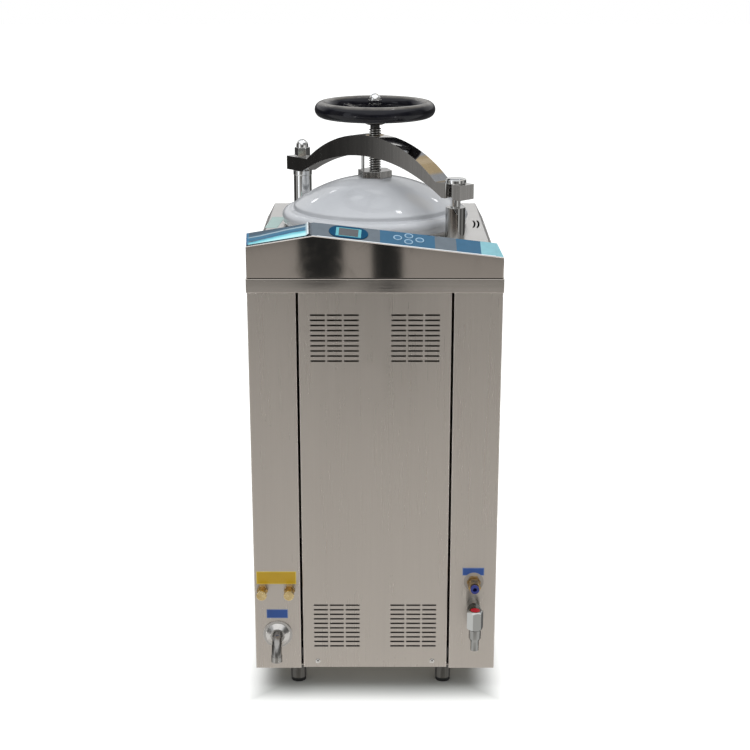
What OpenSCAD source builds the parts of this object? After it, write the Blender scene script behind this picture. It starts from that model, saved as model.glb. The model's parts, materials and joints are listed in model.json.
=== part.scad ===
// Vertical top-loading steam autoclave, closed by a swing arm, a clamp screw and a handwheel.
// Millimetres, +Z up. The floor is Z = 0 and X = 0 is the middle of the cabinet.

/* [Cabinet] */
// Width of the cabinet
body_w = 490; // [486:2:560]
// Depth of the cabinet
body_d = 630; // [620:5:700]
// Height of the seam under the console and the top cover
seam_h = 872; // [860:2:940]
// Height of the cabinet's lower edge over the floor
lower_edge_h = 48; // [40:1:70]
// Thickness of the sheet metal
sheet = 1.5; // [1:0.1:2]
// Height of the rail band under the seam
rail_h = 27; // [20:1:40]
// How far the rail band stands proud of the covers
rail_proud = 1.5; // [0.5:0.1:3]
// Width of the front strip of each side cover
strip_w = 93.25; // [88:0.25:100]
// Width of the dark gap on each side of the access panel
panel_gap = 4.5; // [2:0.5:6]
// Rise of the top cover over the seam
cover_rise = 33; // [28:1:36]
// Inset of the top cover's sloping sides
cover_inset = 16; // [8:1:20]

/* [Louvre grids] */
// Width of one louvre slot
slot_w = 27.6; // [20:0.2:30]
// Height of one louvre slot
slot_h = 2.6; // [1.5:0.1:4]
// Slots side by side in a grid
slot_columns = 3; // [1:1:3]
// Rows of slots in a grid
slot_rows = 10; // [4:1:12]
// Distance between columns
slot_pitch_x = 32.4; // [31:0.2:34]
// Distance between rows
slot_pitch_z = 10.2; // [8:0.2:12]
// Drop of the upper grids' middle under the seam
grid_drop = 117; // [100:1:160]
// Height of the lower grids' middle over the cabinet's lower edge
grid_lift = 96.5; // [85:0.5:140]

/* [Console] */
// Height of the console's front edge over the seam at its left end
console_left_h = 62; // [50:1:75]
// Height of the console's front edge over the seam at its peak
console_peak_h = 83; // [78:1:100]
// Height of the console's front edge over the seam at its right end
console_right_h = 41; // [38:1:60]
// Distance of the peak to the left of the middle
console_peak_x = 117.5; // [80:0.5:150]
// Depth of the console
console_d = 47; // [42:1:60]
// Rise of the keypad face from its front edge to its back edge
console_rise = 17; // [8:1:24]
// Inset of the console's ends at its back edge
console_end_inset = 10.5; // [4:0.5:15]
// Diameter of a key
key_d = 17; // [12:0.5:20]
// Travel of a key
key_travel = 0.8; // [0.3:0.1:1.2]

/* [Chamber] */
// Room between the chamber's inside and each side of the cabinet
chamber_side = 75; // [74:1:84]
// Depth of the chamber from the flange to its floor
chamber_depth = 550; // [500:5:580]
// Room between the chamber's inside and the back of the cabinet
chamber_rear = 80; // [76:1:90]
// Thickness of the vessel's wall
vessel_wall = 4; // [3:0.5:5]
// Width of the flange ring outside the chamber
flange_w = 16; // [12:0.5:18]
// Thickness of the flange
flange_t = 20; // [16:1:24]
// Stand of the flange over the top cover
flange_stand = 5; // [3:0.5:8]
// Height of the basket
basket_h = 380; // [200:5:400]

/* [Lid] */
// How far the lid's rim reaches past the chamber's inside
lid_reach = 27.5; // [26:0.5:29]
// Height of the lid's dome over its lower edge
lid_h = 95; // [90:1:98]
// Rise of the dome over its own edge
dome_rise = 57; // [50:1:58]
// Width of the lid's rim outside the dome
lid_rim_w = 26.5; // [24:0.5:30]
// Thickness of the lid cover
lid_wall = 3; // [2:0.5:4]
// Width of the boss across its corners
boss_d = 74; // [68:1:78]
// Height of the boss
boss_h = 14.5; // [12:0.5:16]

/* [Closing arm] */
// How far each post's axis lies inside the chamber's radius, to the side
post_side_in = 8; // [4:1:10]
// How far each post's axis lies outside the chamber's radius, before or behind
post_ahead_out = 8; // [6:1:14]
// Diameter of the posts
post_d = 40; // [32:1:42]
// Diameter of the studs
stud_d = 20; // [16:1:24]
// Thickness of the arm
arm_w = 40; // [34:1:46]
// Height of the arm's ends
arm_end_h = 30; // [24:1:34]
// Height of the arm's ends over the chamber flange
arm_end_z = 81; // [78:1:90]
// Height of the arch's top over the chamber flange
arch_top_z = 183; // [180:1:195]
// Height of the arch's underside over the chamber flange
arch_under_z = 139; // [138:1:150]
// Distance from each post's axis to where the arch's top meets the arm's end
arch_top_foot = 38.5; // [36:0.5:44]
// Distance from each post's axis to where the arch's underside meets the arm's end
arch_under_foot = 21; // [20.5:0.5:26]
// Reach of the arm past each post's axis
arm_tip = 31; // [26:0.5:32]
// Width of the notch that takes the lock stud
notch_w = 23; // [22:0.5:26]

/* [Handwheel] */
// Diameter of the clamp screw
screw_d = 26; // [22:1:30]
// Outside diameter of the handwheel
wheel_d = 253; // [220:1:300]
// Thickness of the handwheel's rim
wheel_rim_d = 32.5; // [24:0.5:34]
// Height of the rim's middle over the arch's top
wheel_z = 54; // [52:1:70]
// Spokes of the handwheel
wheel_spokes = 3; // [3:1:5]

/* [Front fittings] */
// Distance of the drain outlet from the cabinet's left side
drain_side = 46; // [40:1:56]
// Height of the drain outlet
drain_z = 126; // [120:1:150]
// Diameter of the drain pipe
drain_d = 20.6; // [16:0.2:22]
// Reach of the drain elbow before the front
drain_reach = 45; // [40:1:60]
// Distance of the inlet and the tap from the cabinet's right side
inlet_side = 45; // [40:1:56]
// Height of the water inlet
inlet_z = 243; // [235:1:280]
// Bore of the water inlet, for an 8 mm tube
inlet_bore_d = 8.1; // [6:0.1:10]
// Height of the tap's branch
tap_z = 192; // [188:1:196]
// Reach of the tap's axis before the front
tap_reach = 60; // [56:1:80]
// Width of the tap knob across its flats
tap_knob_w = 29; // [26:0.5:30]
// Diameter of the tap's hose tail
tap_tail_d = 17; // [14:0.5:18]
// Height of the tank nipples
nipple_z = 224.5; // [215:0.5:235]
// Distance of the tank nipples' middle from the cabinet's left side
nipple_side = 44; // [41:1:50]
// Distance between the tank nipples
nipple_pitch = 55; // [45:1:60]

/* [Hidden] */
$fn = 96;

// Finer rounding of the largest curves and coarser of the smallest
fine_steps = 360;
lid_steps = 180;
bead_steps = 24;
rim_steps = 48;

// One overrun for every cut and one clearance for seated round pieces
over = 1;
clear = 0.3;
fit = 0.05;

// Feet and frame
leg_d = 32;
leg_inset_left = 85;
leg_inset_right = 103;
leg_inset_y = 46;
pad_d = 30;
pad_h = 8;
tube_w = 30;
tube_wall = 2;
upright_w = 25;
upright_t = 3;
frame_ring_h = 25;
ring_step = 4;

// Inward lips that rest on the frame ring
lip_w = 12;

// Covers
cover_return = 15;
back_lip = 22;
panel_lip = 12;
panel_clear = 2;
panel_screw_in = 29.75;
grid_x_share = 0.265;
panel_screw_lift = 14.5;
screw_head_d = 10;
screw_head_h = 2.5;
screw_shank_d = 4;
back_margin = 12;
seam_gap = 1.5;
vent_out = 15.5;
vent_slot_w = 4;
vent_pitch = 8.5;
vent_from = -14;
vent_to = 7;

// Console face
overlay_t = 0.8;
overlay_start = 8;
overlay_end_gap = 5;
overlay_edge = 1;
display_u = 66.5;
bezel_w = 75;
bezel_h = 40;
bezel_t = 1.6;
window_w = 49;
window_h = 31;
window_t = 1;
keys_u = 181.7;
keys_v = 27.5;
key_pitch_u = 21.2;
key_pitch_v = 10.6;
key_h = 3;
key_rest = 0.2;
key_gap = 0.4;
board_margin = 95;
board_h = 30;
board_t = 1.6;
board_x = 20;

// Posts, studs and nuts
yoke_t = 12;
yoke_ring_w = 34;
yoke_bar_w = 50;
lock_sleeve_z = 63;
hinge_collar_h = 10;
hinge_collar_lip = 0.75;
lock_head_d = 42;
lock_head_h = 10.6;
lock_head_centre_share = 1.2;
lock_head_round_share = 1.24;
head_gap = 0.4;
nut_af = 30;
nut_hex_h = 20;
nut_round_share = 2.25;
nut_bore_share = 0.7;
stud_grip_share = 0.6;
nut_dome_d = 26.5;
nut_dome_h = 18;
stud_nut_h = 16;
stud_below = 4;

// Vessel and what it holds
vessel_knuckle = 25;
gasket_w = 9;
gasket_t = 8;
gasket_proud = 1.6;
gasket_gap = 0.4;
jacket_t = 30;
jacket_low = 24;
jacket_high = 30;
chamber_boss_d = 24;
chamber_boss_h = 16;
heater_ring_in = 60;
heater_d = 10;
heater_lift = 20;
heater_leg_x = 15;
heater_leg_drop = 20;
grid_lift_h = 75;
grid_t = 2;
grid_gap = 5;
grid_leg_d = 10;
grid_hole_d = 14;
grid_leg_in = 30;
grid_legs = 3;
grid_leg_turn = 90;
basket_gap = 11;
basket_wall = 1.5;
basket_bead_d = 5;
basket_hole_d = 12;
sieve_rings = 3;
sieve_holes = 6;
sieve_start_share = 0.04;
sieve_step_share = 0.25;
grip_w = 80;
grip_d = 5;
grip_h = 26;
grip_down = 13;
grip_sunk = 1.25;
probe_d = 8;
probe_len = 70;
probe_z1 = 38;
probe_z2 = 54;
probe_head_d = 18;
probe_head_l = 12;

// Lid details
rim_round = 14;
skirt_in = 2.5;
rim_h = 14;
rim_shelf_h = 26;
lid_flat = 2;
plate_flange_in = 9.5;
plate_flange_t = 14;
plate_head_in = 10;
plate_t = 6;
plate_drop = 15;
neck_d = 36;
guide_pin_d = 6.5;
guide_pin_off = 25.4;
guide_pin_side = 11.6;
guide_pin_up = 41;
guide_hole_up = 26;
screw_seat = 3;
boss_sides = 6;
boss_turn = -13.5;

// Handwheel details
bush_d = 38;
hub_d = 56;
hub_low = 32;
hub_foot_d = 36;
hub_foot_h = 6;
hub_belly_h = 12;
hub_slope_h = 12;
hub_neck_d = 26;
spoke_d1 = 18;
spoke_d2 = 15;
spoke_fall = 16;
spoke_turn = 11;
wheel_bore_d = 20;
washer_h = 2;
washer_d = 27;
hub_rise = 10;
wheel_nut_af = 26;
wheel_nut_hex = 7.5;
wheel_nut_dome = 24.6;
wheel_nut_dome_h = 13;
hinge_bush_wall = 2.5;
bush_drop = 0.5;

// Front fittings
rosette_d = 59.6;
rosette_t = 2.5;
rosette_dish = 8;
rosette_hub_d = 30;
elbow_r = 30;
elbow_in = 14;
drain_wall = 1.8;
drain_drop = 38;
drain_collar_d = 22.6;
drain_collar_h = 12;
inner_pipe_d = 14;
tank_w = 78;
tank_d = 90;
tank_h = 130;
tank_below = 40;
nipple_af = 20;
nipple_hex_t = 7;
nipple_neck_d = 15;
nipple_len = 22;
nipple_cap_d = 21;
nipple_cap_t = 7;
nipple_tail = 8;
inlet_nut_af = 24;
inlet_nut_t = 8;
inlet_body_d = 20;
inlet_hex_af = 22;
inlet_len = 40;
collar_d = 18;
collar_t = 7;
collar_travel = 1.5;
collar_gap = 0.5;
collar_sleeve_d = 12;
collar_sleeve_l = 12;
washer_ring_d = 40;
washer_ring_t = 0.8;
inlet_valve_w = 30;
inlet_valve_l = 44;
inlet_valve_h = 54;
drain_valve_w = 30;
drain_valve_l = 44;
drain_valve_h = 48;
tap_boss_d = 27;
tap_boss_l = 22;
tap_branch_d = 16;
tap_arm_d = 14;
tap_drop = 34;
tap_body_d = 24.5;
tap_body_high = 9;
tap_cone_h = 8;
tap_knob_gap = 0.3;
tap_knob_h = 41;
tap_neck_d = 16;
tap_neck_h = 6;
tap_tail_len = 27;
tap_tail_wall = 2.5;
tap_knob_turn = 12;
tap_knob_round_share = 0.82;
index_d = 19;
index_t = 1.5;

// Rear and upper pipework
manifold_angle = 52;
manifold_d = 16;
manifold_pot_d = 22.4;
manifold_gap = 42;
manifold_drop = 52;
valve_d = 26;
valve_below = 44;
valve_above = 30;
exhaust_d = 34;
gland_side = 80;
gland_z = 110;
gland_d = 24;
gland_tip_share = 0.8;
gland_bore_d = 10;
gland_nut_af = 27;
gland_nut_t = 8;
gland_len = 16;

// Places that follow from the sizes above
half_w = body_w / 2;
panel_w = body_w - 2 * (strip_w + panel_gap);
grid_x = panel_w * grid_x_share;
panel_screw_x = panel_w / 2 - panel_screw_in;
board_w = body_w - 2 * board_margin;
drain_x = half_w - drain_side;
inlet_x = half_w - inlet_side;
nipple_x = half_w - nipple_side;
gland_x = half_w - gland_side;
chamber_d = body_w - 2 * chamber_side;
chamber_back = body_d - chamber_d / 2 - chamber_rear;
front_out = tap_reach + tap_knob_w / 2 / cos(30) * cos(30 - tap_knob_turn);
back_out = sheet + gland_nut_t + gland_len;
front_y = (front_out - body_d - back_out) / 2;
rail_z = seam_h - rail_h;
cover_top = seam_h + cover_rise;
flange_top = cover_top + flange_stand;
flange_low = flange_top - flange_t;
chamber_y = front_y + chamber_back;
chamber_r = chamber_d / 2;
vessel_r = chamber_r + vessel_wall;
flange_r = chamber_r + flange_w;
floor_z = flange_top - chamber_depth;
vessel_low = floor_z - vessel_wall;
frame_low = lower_edge_h + sheet;
inner_w = half_w - sheet;
lid_d = chamber_d + 2 * lid_reach;
dome_edge_r = lid_d / 2 - lid_rim_w;
dome_r = arc_radius(dome_edge_r, dome_rise);
vent_r = lid_d / 2 + vent_out;
plate_flange_r = lid_d / 2 - plate_flange_in;
plate_head_r = chamber_r - plate_head_in;
heater_ring_r = chamber_r - heater_ring_in;
grid_leg_r = chamber_r - grid_leg_in;
manifold_r = vessel_r + jacket_t + manifold_gap;
post_side = chamber_r - post_side_in;
post_ahead = chamber_r + post_ahead_out;
post_r = sqrt(post_side * post_side + post_ahead * post_ahead);
arm_angle = atan2(-post_ahead, post_side);
lock_at = [post_side, chamber_y - post_ahead];
hinge_at = [-post_side, chamber_y + post_ahead];
yoke_top = flange_low;
frame_top = yoke_top - yoke_t;
arm_low = flange_top + arm_end_z;
arm_high = arm_low + arm_end_h;
arch_top = flange_top + arch_top_z;
arch_under = flange_top + arch_under_z;
arch_top_r = arc_radius(post_r - arch_top_foot, arch_top - arm_high);
arch_under_r = arc_radius(post_r - arch_under_foot, arch_under - arm_low);
lid_low = flange_top + gasket_proud + gasket_gap;
lid_top = lid_low + lid_h - lid_flat;
boss_top = lid_top + boss_h;
rim_z = arch_top + wheel_z;
hub_top = rim_z + hub_rise;
wheel_top = hub_top + washer_h;
facet_tilt = atan2(console_rise, console_d);
right_run = half_w + console_peak_x;
right_fall = console_peak_h - console_right_h;
right_slope = atan2(right_fall * cos(facet_tilt), right_run);
edge_slope = atan2(right_fall, right_run);
edge_turn = asin(sin(edge_slope) * sin(facet_tilt));
facet_len = right_run / cos(edge_slope);
facet_depth = console_d / cos(facet_tilt);
grid_top = floor_z + grid_lift_h;
basket_z = grid_top + grid_t;
basket_r = chamber_r - basket_gap;
strip_inner = panel_w / 2 + panel_gap;

// Radius of the arc over a chord, from half the chord and the arc's rise
function arc_radius(half, rise) = (half * half + rise * rise) / (2 * rise);

module at(x, back, z) {
    translate([x, front_y + back, z]) children();
}

module at_chamber(z) {
    translate([0, chamber_y, z]) children();
}

// A bar along the front-to-back direction, starting at the front plane and running forwards
module forwards(x, z) {
    at(x, 0, z) rotate([90, 0, 0]) children();
}

module hex(af, h) {
    cylinder(d = af / cos(30), h = h, $fn = 6);
}

module ring(d_out, d_in, h) {
    difference() {
        cylinder(d = d_out, h = h);
        translate([0, 0, -over]) cylinder(d = d_in, h = h + 2 * over);
    }
}

module block(w, d, h) {
    translate([-w / 2, -d / 2, 0]) cube([w, d, h]);
}

// A closed nut with a hexagon below and a dome above
module acorn_nut(af, hex_h, dome_d, dome_h, bore) {
    difference() {
        union() {
            intersection() {
                hex(af, hex_h);
                translate([0, 0, hex_h - af]) sphere(d = af * nut_round_share);
            }
            translate([0, 0, hex_h]) rotate_extrude() intersection() {
                union() {
                    translate([0, dome_h - dome_d / 2]) circle(d = dome_d);
                    translate([0, -over]) square([dome_d / 2, dome_h - dome_d / 2 + over]);
                }
                translate([0, -over]) square([dome_d / 2, dome_h + over]);
            }
        }
        translate([0, 0, -over]) cylinder(d = bore, h = hex_h * nut_bore_share + over);
    }
}

module leg_tubes() {
    color([0.55, 0.54, 0.52])
        for (place = leg_places())
            at(place[0], place[1], pad_h)
                ring(leg_d, leg_d - 2 * tube_wall, frame_low - pad_h);
}

function leg_places() = [
    [leg_inset_left - half_w, leg_inset_y],
    [half_w - leg_inset_right, leg_inset_y],
    [leg_inset_left - half_w, body_d - leg_inset_y],
    [half_w - leg_inset_right, body_d - leg_inset_y]];

module foot_pads() {
    color([0.12, 0.12, 0.12])
        for (place = leg_places()) at(place[0], place[1], 0) {
            cylinder(d = pad_d, h = pad_h);
            translate([0, 0, pad_h])
                cylinder(d = leg_d - 2 * tube_wall - clear, h = pad_h);
        }
}

module base_frame() {
    color([0.42, 0.42, 0.42]) {
        for (back = [leg_inset_y, body_d - leg_inset_y])
            at(0, back, frame_low) difference() {
                block(inner_w * 2, tube_w, tube_w);
                translate([0, 0, tube_wall])
                    block(inner_w * 2 + over, tube_w - 2 * tube_wall, tube_w - 2 * tube_wall);
            }
        for (side = [-1, 1])
            at(side * (inner_w - tube_w / 2), body_d / 2, frame_low) difference() {
                block(tube_w, body_d - 2 * leg_inset_y + tube_w, tube_w);
                translate([0, 0, tube_wall])
                    block(tube_w - 2 * tube_wall, body_d, tube_w - 2 * tube_wall);
            }
        difference() {
            for (side = [-1, 1], back = [sheet, body_d - sheet]) upright(side, back);
            forwards(-nipple_x - nipple_pitch / 2, nipple_z) translate([0, 0, -upright_w / 2])
                cylinder(d = nipple_neck_d + 2 * clear, h = upright_w / 2);
        }
    }
}

// One angle bar in a corner of the cabinet, down to the base frame
module upright(side, back) {
    at(side * inner_w, back, frame_low)
        mirror([side > 0 ? 1 : 0, 0, 0]) mirror([0, back > body_d / 2 ? 1 : 0, 0]) {
            linear_extrude(frame_top - frame_ring_h - frame_low) difference() {
                square([upright_w, upright_w]);
                translate([upright_t, upright_t]) square([upright_w, upright_w]);
            }
            cube([upright_w, leg_inset_y - tube_w / 2 - sheet + over, upright_t]);
        }
}

module base_pan() {
    color([0.55, 0.54, 0.52]) difference() {
        at(0, body_d / 2, lower_edge_h) block(inner_w * 2, body_d - 2 * cover_return, sheet);
        for (place = leg_places())
            at(place[0], place[1], lower_edge_h - over)
                cylinder(d = leg_d + clear, h = sheet + 2 * over);
    }
}

module top_frame_ring() {
    color([0.42, 0.42, 0.42]) at(0, body_d / 2, frame_top - frame_ring_h)
        difference() {
            union() {
                block(inner_w * 2, body_d - 2 * sheet, frame_ring_h - frame_top + seam_h);
                block(inner_w * 2 - 2 * ring_step, body_d - 2 * sheet - 2 * ring_step, frame_ring_h);
            }
            translate([0, 0, -over])
                block(inner_w * 2 - 2 * upright_w, body_d - 2 * sheet - 2 * upright_w,
                    frame_ring_h + 2 * over);
        }
}

// The plan of a side cover: front strip, side and back lip, for the left side
module cover_plan() {
    strip_w = half_w - strip_inner;
    square([strip_w, sheet]);
    square([sheet, body_d]);
    translate([strip_w - sheet, 0]) square([sheet, cover_return]);
    translate([0, body_d - sheet]) square([back_lip, sheet]);
}

module side_cover() {
    at(-half_w, 0, lower_edge_h) linear_extrude(rail_z - lower_edge_h) cover_plan();
}

module left_side_cover() {
    color([0.62, 0.6, 0.57]) difference() {
        side_cover();
        forwards(-drain_x, drain_z) translate([0, 0, -sheet - over])
            cylinder(d = drain_d + 2 * clear, h = sheet + 2 * over);
        for (side = [-1, 1])
            forwards(-nipple_x + side * nipple_pitch / 2, nipple_z) translate([0, 0, -sheet - over])
                cylinder(d = nipple_neck_d + 2 * clear, h = sheet + 2 * over);
    }
}

module right_side_cover() {
    color([0.62, 0.6, 0.57]) difference() {
        mirror([1, 0, 0]) side_cover();
        forwards(inlet_x, inlet_z) translate([0, 0, -sheet - over])
            cylinder(d = inlet_body_d + 2 * clear, h = sheet + 2 * over);
        forwards(inlet_x, tap_z) translate([0, 0, -sheet - over])
            cylinder(d = tap_branch_d + 2 * clear, h = sheet + 2 * over);
    }
}

// One grid of louvre slots, as a plane figure about its middle
module louvre_grid() {
    for (column = [0:slot_columns - 1], row = [0:slot_rows - 1])
        translate([(column - (slot_columns - 1) / 2) * slot_pitch_x,
            (row - (slot_rows - 1) / 2) * slot_pitch_z])
            square([slot_w, slot_h], center = true);
}

module four_grids(low) {
    for (side = [-1, 1]) {
        translate([side * grid_x, seam_h - grid_drop - low]) louvre_grid();
        translate([side * grid_x, lower_edge_h + grid_lift - low]) louvre_grid();
    }
}

module front_access_panel() {
    low = lower_edge_h + panel_clear;
    high = rail_z - low;
    color([0.62, 0.6, 0.57]) {
        at(0, sheet, low) rotate([90, 0, 0]) linear_extrude(sheet) difference() {
            translate([-panel_w / 2, 0]) square([panel_w, high]);
            four_grids(low);
            for (side = [-1, 1])
                translate([side * panel_screw_x, panel_screw_lift])
                    circle(d = screw_shank_d + clear);
        }
        for (side = [-1, 1])
            at(side * (panel_w / 2 - sheet / 2), sheet + panel_lip / 2, low)
                block(sheet, panel_lip, high);
    }
}

module panel_screws() {
    color([0.7, 0.7, 0.7])
        for (side = [-1, 1])
            forwards(side * panel_screw_x, lower_edge_h + panel_clear + panel_screw_lift) {
                intersection() {
                    cylinder(d = screw_head_d, h = screw_head_h);
                    translate([0, 0, screw_head_h - screw_head_d]) sphere(d = 2 * screw_head_d);
                }
                translate([0, 0, -panel_lip]) cylinder(d = screw_shank_d, h = panel_lip);
            }
}

module back_cover() {
    low = lower_edge_h + back_margin;
    high = rail_z - low;
    color([0.6, 0.58, 0.55]) at(0, body_d + sheet, low)
        rotate([90, 0, 0]) linear_extrude(sheet) difference() {
            translate([back_margin - half_w, 0]) square([body_w - 2 * back_margin, high]);
            four_grids(low);
            translate([gland_x, gland_z - low]) circle(d = gland_d + clear);
        }
}

module rail_band() {
    color([0.58, 0.56, 0.53]) at(0, body_d / 2, rail_z) difference() {
        block(body_w + 2 * rail_proud, body_d + 2 * rail_proud, rail_h);
        translate([0, 0, -over]) block(inner_w * 2, body_d - 2 * sheet, rail_h + 2 * over);
    }
}

// The room that the upper step of the frame ring takes
module ring_room() {
    at(0, body_d / 2, seam_h) block((inner_w - ring_step) * 2, body_d - 2 * (sheet + ring_step),
        frame_top - seam_h);
}

// The layer just above the frame ring, where the covers' lips lie
module lip_layer() {
    at(0, body_d / 2, frame_top) difference() {
        block(body_w, body_d, sheet);
        translate([0, 0, -over])
            block((inner_w - lip_w) * 2, body_d - 2 * (sheet + lip_w), sheet + 2 * over);
    }
}

// The sloped body of the top cover, drawn inwards by a wall
module cover_form(wall) {
    low = seam_h + seam_gap;
    rise = cover_top - low;
    run = body_d - console_d;
    slant = cover_inset / rise;
    foot = half_w + slant * wall;
    side = half_w - cover_inset + slant * wall;
    intersection() {
        at(0, body_d, low) rotate([90, 0, 0]) linear_extrude(run)
            polygon([[wall - foot, -wall], [foot - wall, -wall], [side - wall, rise - wall],
                [wall - side, rise - wall]]);
        at(-half_w, 0, low) rotate([90, 0, 90]) linear_extrude(body_w)
            polygon([[console_d + wall, -wall], [body_d - half_w + foot - wall, -wall],
                [body_d - half_w + side - wall, rise - wall], [console_d + wall, rise - wall]]);
    }
}

module vent_arc(radius) {
    reach = radius * 2;
    intersection() {
        difference() {
            circle(r = radius + vent_slot_w / 2);
            circle(r = radius - vent_slot_w / 2);
        }
        polygon([[0, 0], [reach * cos(vent_from), reach * sin(vent_from)],
            [reach * cos(vent_to), reach * sin(vent_to)]]);
    }
}

module top_cover() {
    color([0.68, 0.67, 0.64]) difference() {
        union() {
            difference() {
                cover_form(0);
                cover_form(sheet);
            }
            intersection() {
                cover_form(0);
                lip_layer();
            }
        }
        at_chamber(seam_h) cylinder(r = flange_r + over, h = cover_rise + over);
        for (place = [lock_at, hinge_at])
            translate([place[0], place[1], seam_h])
                cylinder(d = post_d + clear * 2, h = cover_rise + over);
        at_chamber(cover_top - sheet - over) linear_extrude(sheet + 2 * over)
            for (step = [0, 1]) vent_arc(vent_r + step * vent_pitch);
        ring_room();
    }
}

// The console's outer form, drawn inwards by a wall
module console_form(wall) {
    low = seam_h + seam_gap;
    deep = console_d * 2;
    tall = console_peak_h + console_rise + over;
    back_half = half_w - console_end_inset;
    intersection() {
        at(0, 0, seam_h) rotate([facet_tilt, 0, 0])
            translate([0, deep + console_d, 0]) rotate([90, 0, 0]) linear_extrude(deep * 2)
                polygon([[-half_w, -tall], [half_w, -tall],
                    [half_w, console_right_h * cos(facet_tilt) - wall],
                    [-console_peak_x, console_peak_h * cos(facet_tilt) - wall],
                    [-half_w, console_left_h * cos(facet_tilt) - wall]]);
        union() {
            at(0, 0, low - wall) linear_extrude(tall)
                polygon([[wall - half_w, wall], [half_w - wall, wall],
                    [back_half - wall, console_d - wall], [wall - back_half, console_d - wall]]);
            at(0, console_d / 2, low - wall) block(body_w - 2 * wall, console_d - 2 * wall,
                cover_top - low);
        }
    }
}

// Places children on the right-hand keypad face: x along it, y up it, z out of it
module on_face(u, v) {
    at(-console_peak_x, 0, seam_h + console_peak_h) rotate([facet_tilt, 0, 0])
        rotate([0, right_slope, 0]) rotate([0, 0, -edge_turn]) translate([u, v, 0]) children();
}

function key_places() = [
    [keys_u - key_pitch_u, keys_v], [keys_u + key_pitch_u, keys_v],
    [keys_u, keys_v - key_pitch_v], [keys_u, keys_v + key_pitch_v]];

module key_holes() {
    for (place = key_places())
        on_face(place[0], place[1]) translate([0, 0, -key_h * 2])
            cylinder(d = key_d + 2 * key_gap, h = key_h * 3);
}

module console_shell() {
    color([0.7, 0.69, 0.67]) difference() {
        union() {
            difference() {
                console_form(0);
                console_form(sheet);
            }
            intersection() {
                console_form(0);
                lip_layer();
            }
        }
        ring_room();
        key_holes();
        on_face(display_u, facet_depth / 2)
            translate([-window_w / 2, -window_h / 2, -sheet * 2]) cube([window_w, window_h, sheet * 3]);
    }
}

module overlay_cut() {
    on_face(display_u, facet_depth / 2)
        translate([-window_w / 2, -window_h / 2, -over]) cube([window_w, window_h, over * 3]);
}

module keypad_overlay() {
    color([0.2, 0.42, 0.62]) difference() {
        on_face(overlay_start, overlay_edge)
            cube([facet_len - overlay_start - overlay_end_gap - console_end_inset,
                facet_depth - 2 * overlay_edge, overlay_t]);
        key_holes();
        overlay_cut();
    }
}

module display_bezel() {
    color([0.1, 0.35, 0.6]) on_face(display_u, facet_depth / 2) translate([0, 0, overlay_t])
        linear_extrude(bezel_t) difference() {
            union() {
                square([bezel_w - bezel_h, bezel_h], center = true);
                for (side = [-1, 1])
                    translate([side * (bezel_w - bezel_h) / 2, 0]) circle(d = bezel_h);
            }
            square([window_w, window_h], center = true);
        }
}

module display_window() {
    color([0.45, 0.5, 0.48]) on_face(display_u, facet_depth / 2)
        translate([-window_w / 2, -window_h / 2, -sheet])
            cube([window_w, window_h, sheet + overlay_t + window_t]);
}

module key_cap(place) {
    color([0.9, 0.92, 0.94]) on_face(place[0], place[1])
        translate([0, 0, overlay_t + key_travel + key_rest - key_h]) cylinder(d = key_d, h = key_h);
}

module key_left() {
    key_cap(key_places()[0]);
}

module key_right() {
    key_cap(key_places()[1]);
}

module key_front() {
    key_cap(key_places()[2]);
}

module key_back() {
    key_cap(key_places()[3]);
}

module control_board() {
    color([0.1, 0.4, 0.2])
        at(board_x, sheet + board_t, frame_top + sheet) rotate([90, 0, 0])
            translate([-board_w / 2, 0, 0]) cube([board_w, board_h, board_t]);
}

module cable_gland() {
    color([0.1, 0.1, 0.1]) at(gland_x, body_d + back_out, gland_z) rotate([90, 0, 0])
        difference() {
            union() {
                cylinder(d1 = gland_d * gland_tip_share, d2 = gland_d, h = gland_len);
                translate([0, 0, gland_len]) hex(gland_nut_af, gland_nut_t);
                translate([0, 0, gland_len + gland_nut_t]) cylinder(d = gland_d, h = gland_len);
            }
            translate([0, 0, -over]) cylinder(d = gland_bore_d, h = 3 * gland_len + gland_nut_t);
        }
}

module yoke_plate() {
    color([0.45, 0.45, 0.45]) at_chamber(yoke_top - yoke_t) linear_extrude(yoke_t) difference() {
        union() {
            circle(r = vessel_r + yoke_ring_w);
            for (side = [-1, 1])
                translate([0, side * post_ahead])
                    square([inner_w * 2 - upright_w, yoke_bar_w], center = true);
        }
        circle(r = vessel_r + clear);
        for (side = [-1, 1])
            translate([side * post_side, -side * post_ahead]) circle(d = stud_d + clear);
    }
}

module post_sleeve(z_to) {
    ring(post_d, stud_d + clear, z_to - yoke_top);
}

module lock_post() {
    color([0.8, 0.8, 0.8]) translate([lock_at[0], lock_at[1], yoke_top])
        post_sleeve(flange_top + lock_sleeve_z);
}

module stud_nut() {
    difference() {
        hex(nut_af, stud_nut_h);
        translate([0, 0, -over]) cylinder(d = stud_d + fit * 2, h = stud_nut_h + 2 * over);
    }
}

module lock_stud() {
    low = yoke_top - yoke_t - stud_nut_h - stud_below;
    color([0.82, 0.82, 0.82]) translate([lock_at[0], lock_at[1], low]) {
        cylinder(d = stud_d, h = arm_high + head_gap - low);
        translate([0, 0, arm_high + head_gap - low]) intersection() {
            cylinder(d = lock_head_d, h = lock_head_h);
            translate([0, 0, lock_head_h - lock_head_d * lock_head_centre_share])
                sphere(r = lock_head_d * lock_head_round_share);
        }
    }
}

module hinge_post() {
    color([0.8, 0.8, 0.8]) translate([hinge_at[0], hinge_at[1], yoke_top]) difference() {
        union() {
            post_sleeve(arm_low - head_gap);
            translate([0, 0, arm_low - head_gap - hinge_collar_h - yoke_top])
                cylinder(d = post_d + 2 * hinge_collar_lip, h = hinge_collar_h);
        }
        translate([0, 0, -over]) cylinder(d = stud_d + clear, h = arm_low);
    }
}

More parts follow.
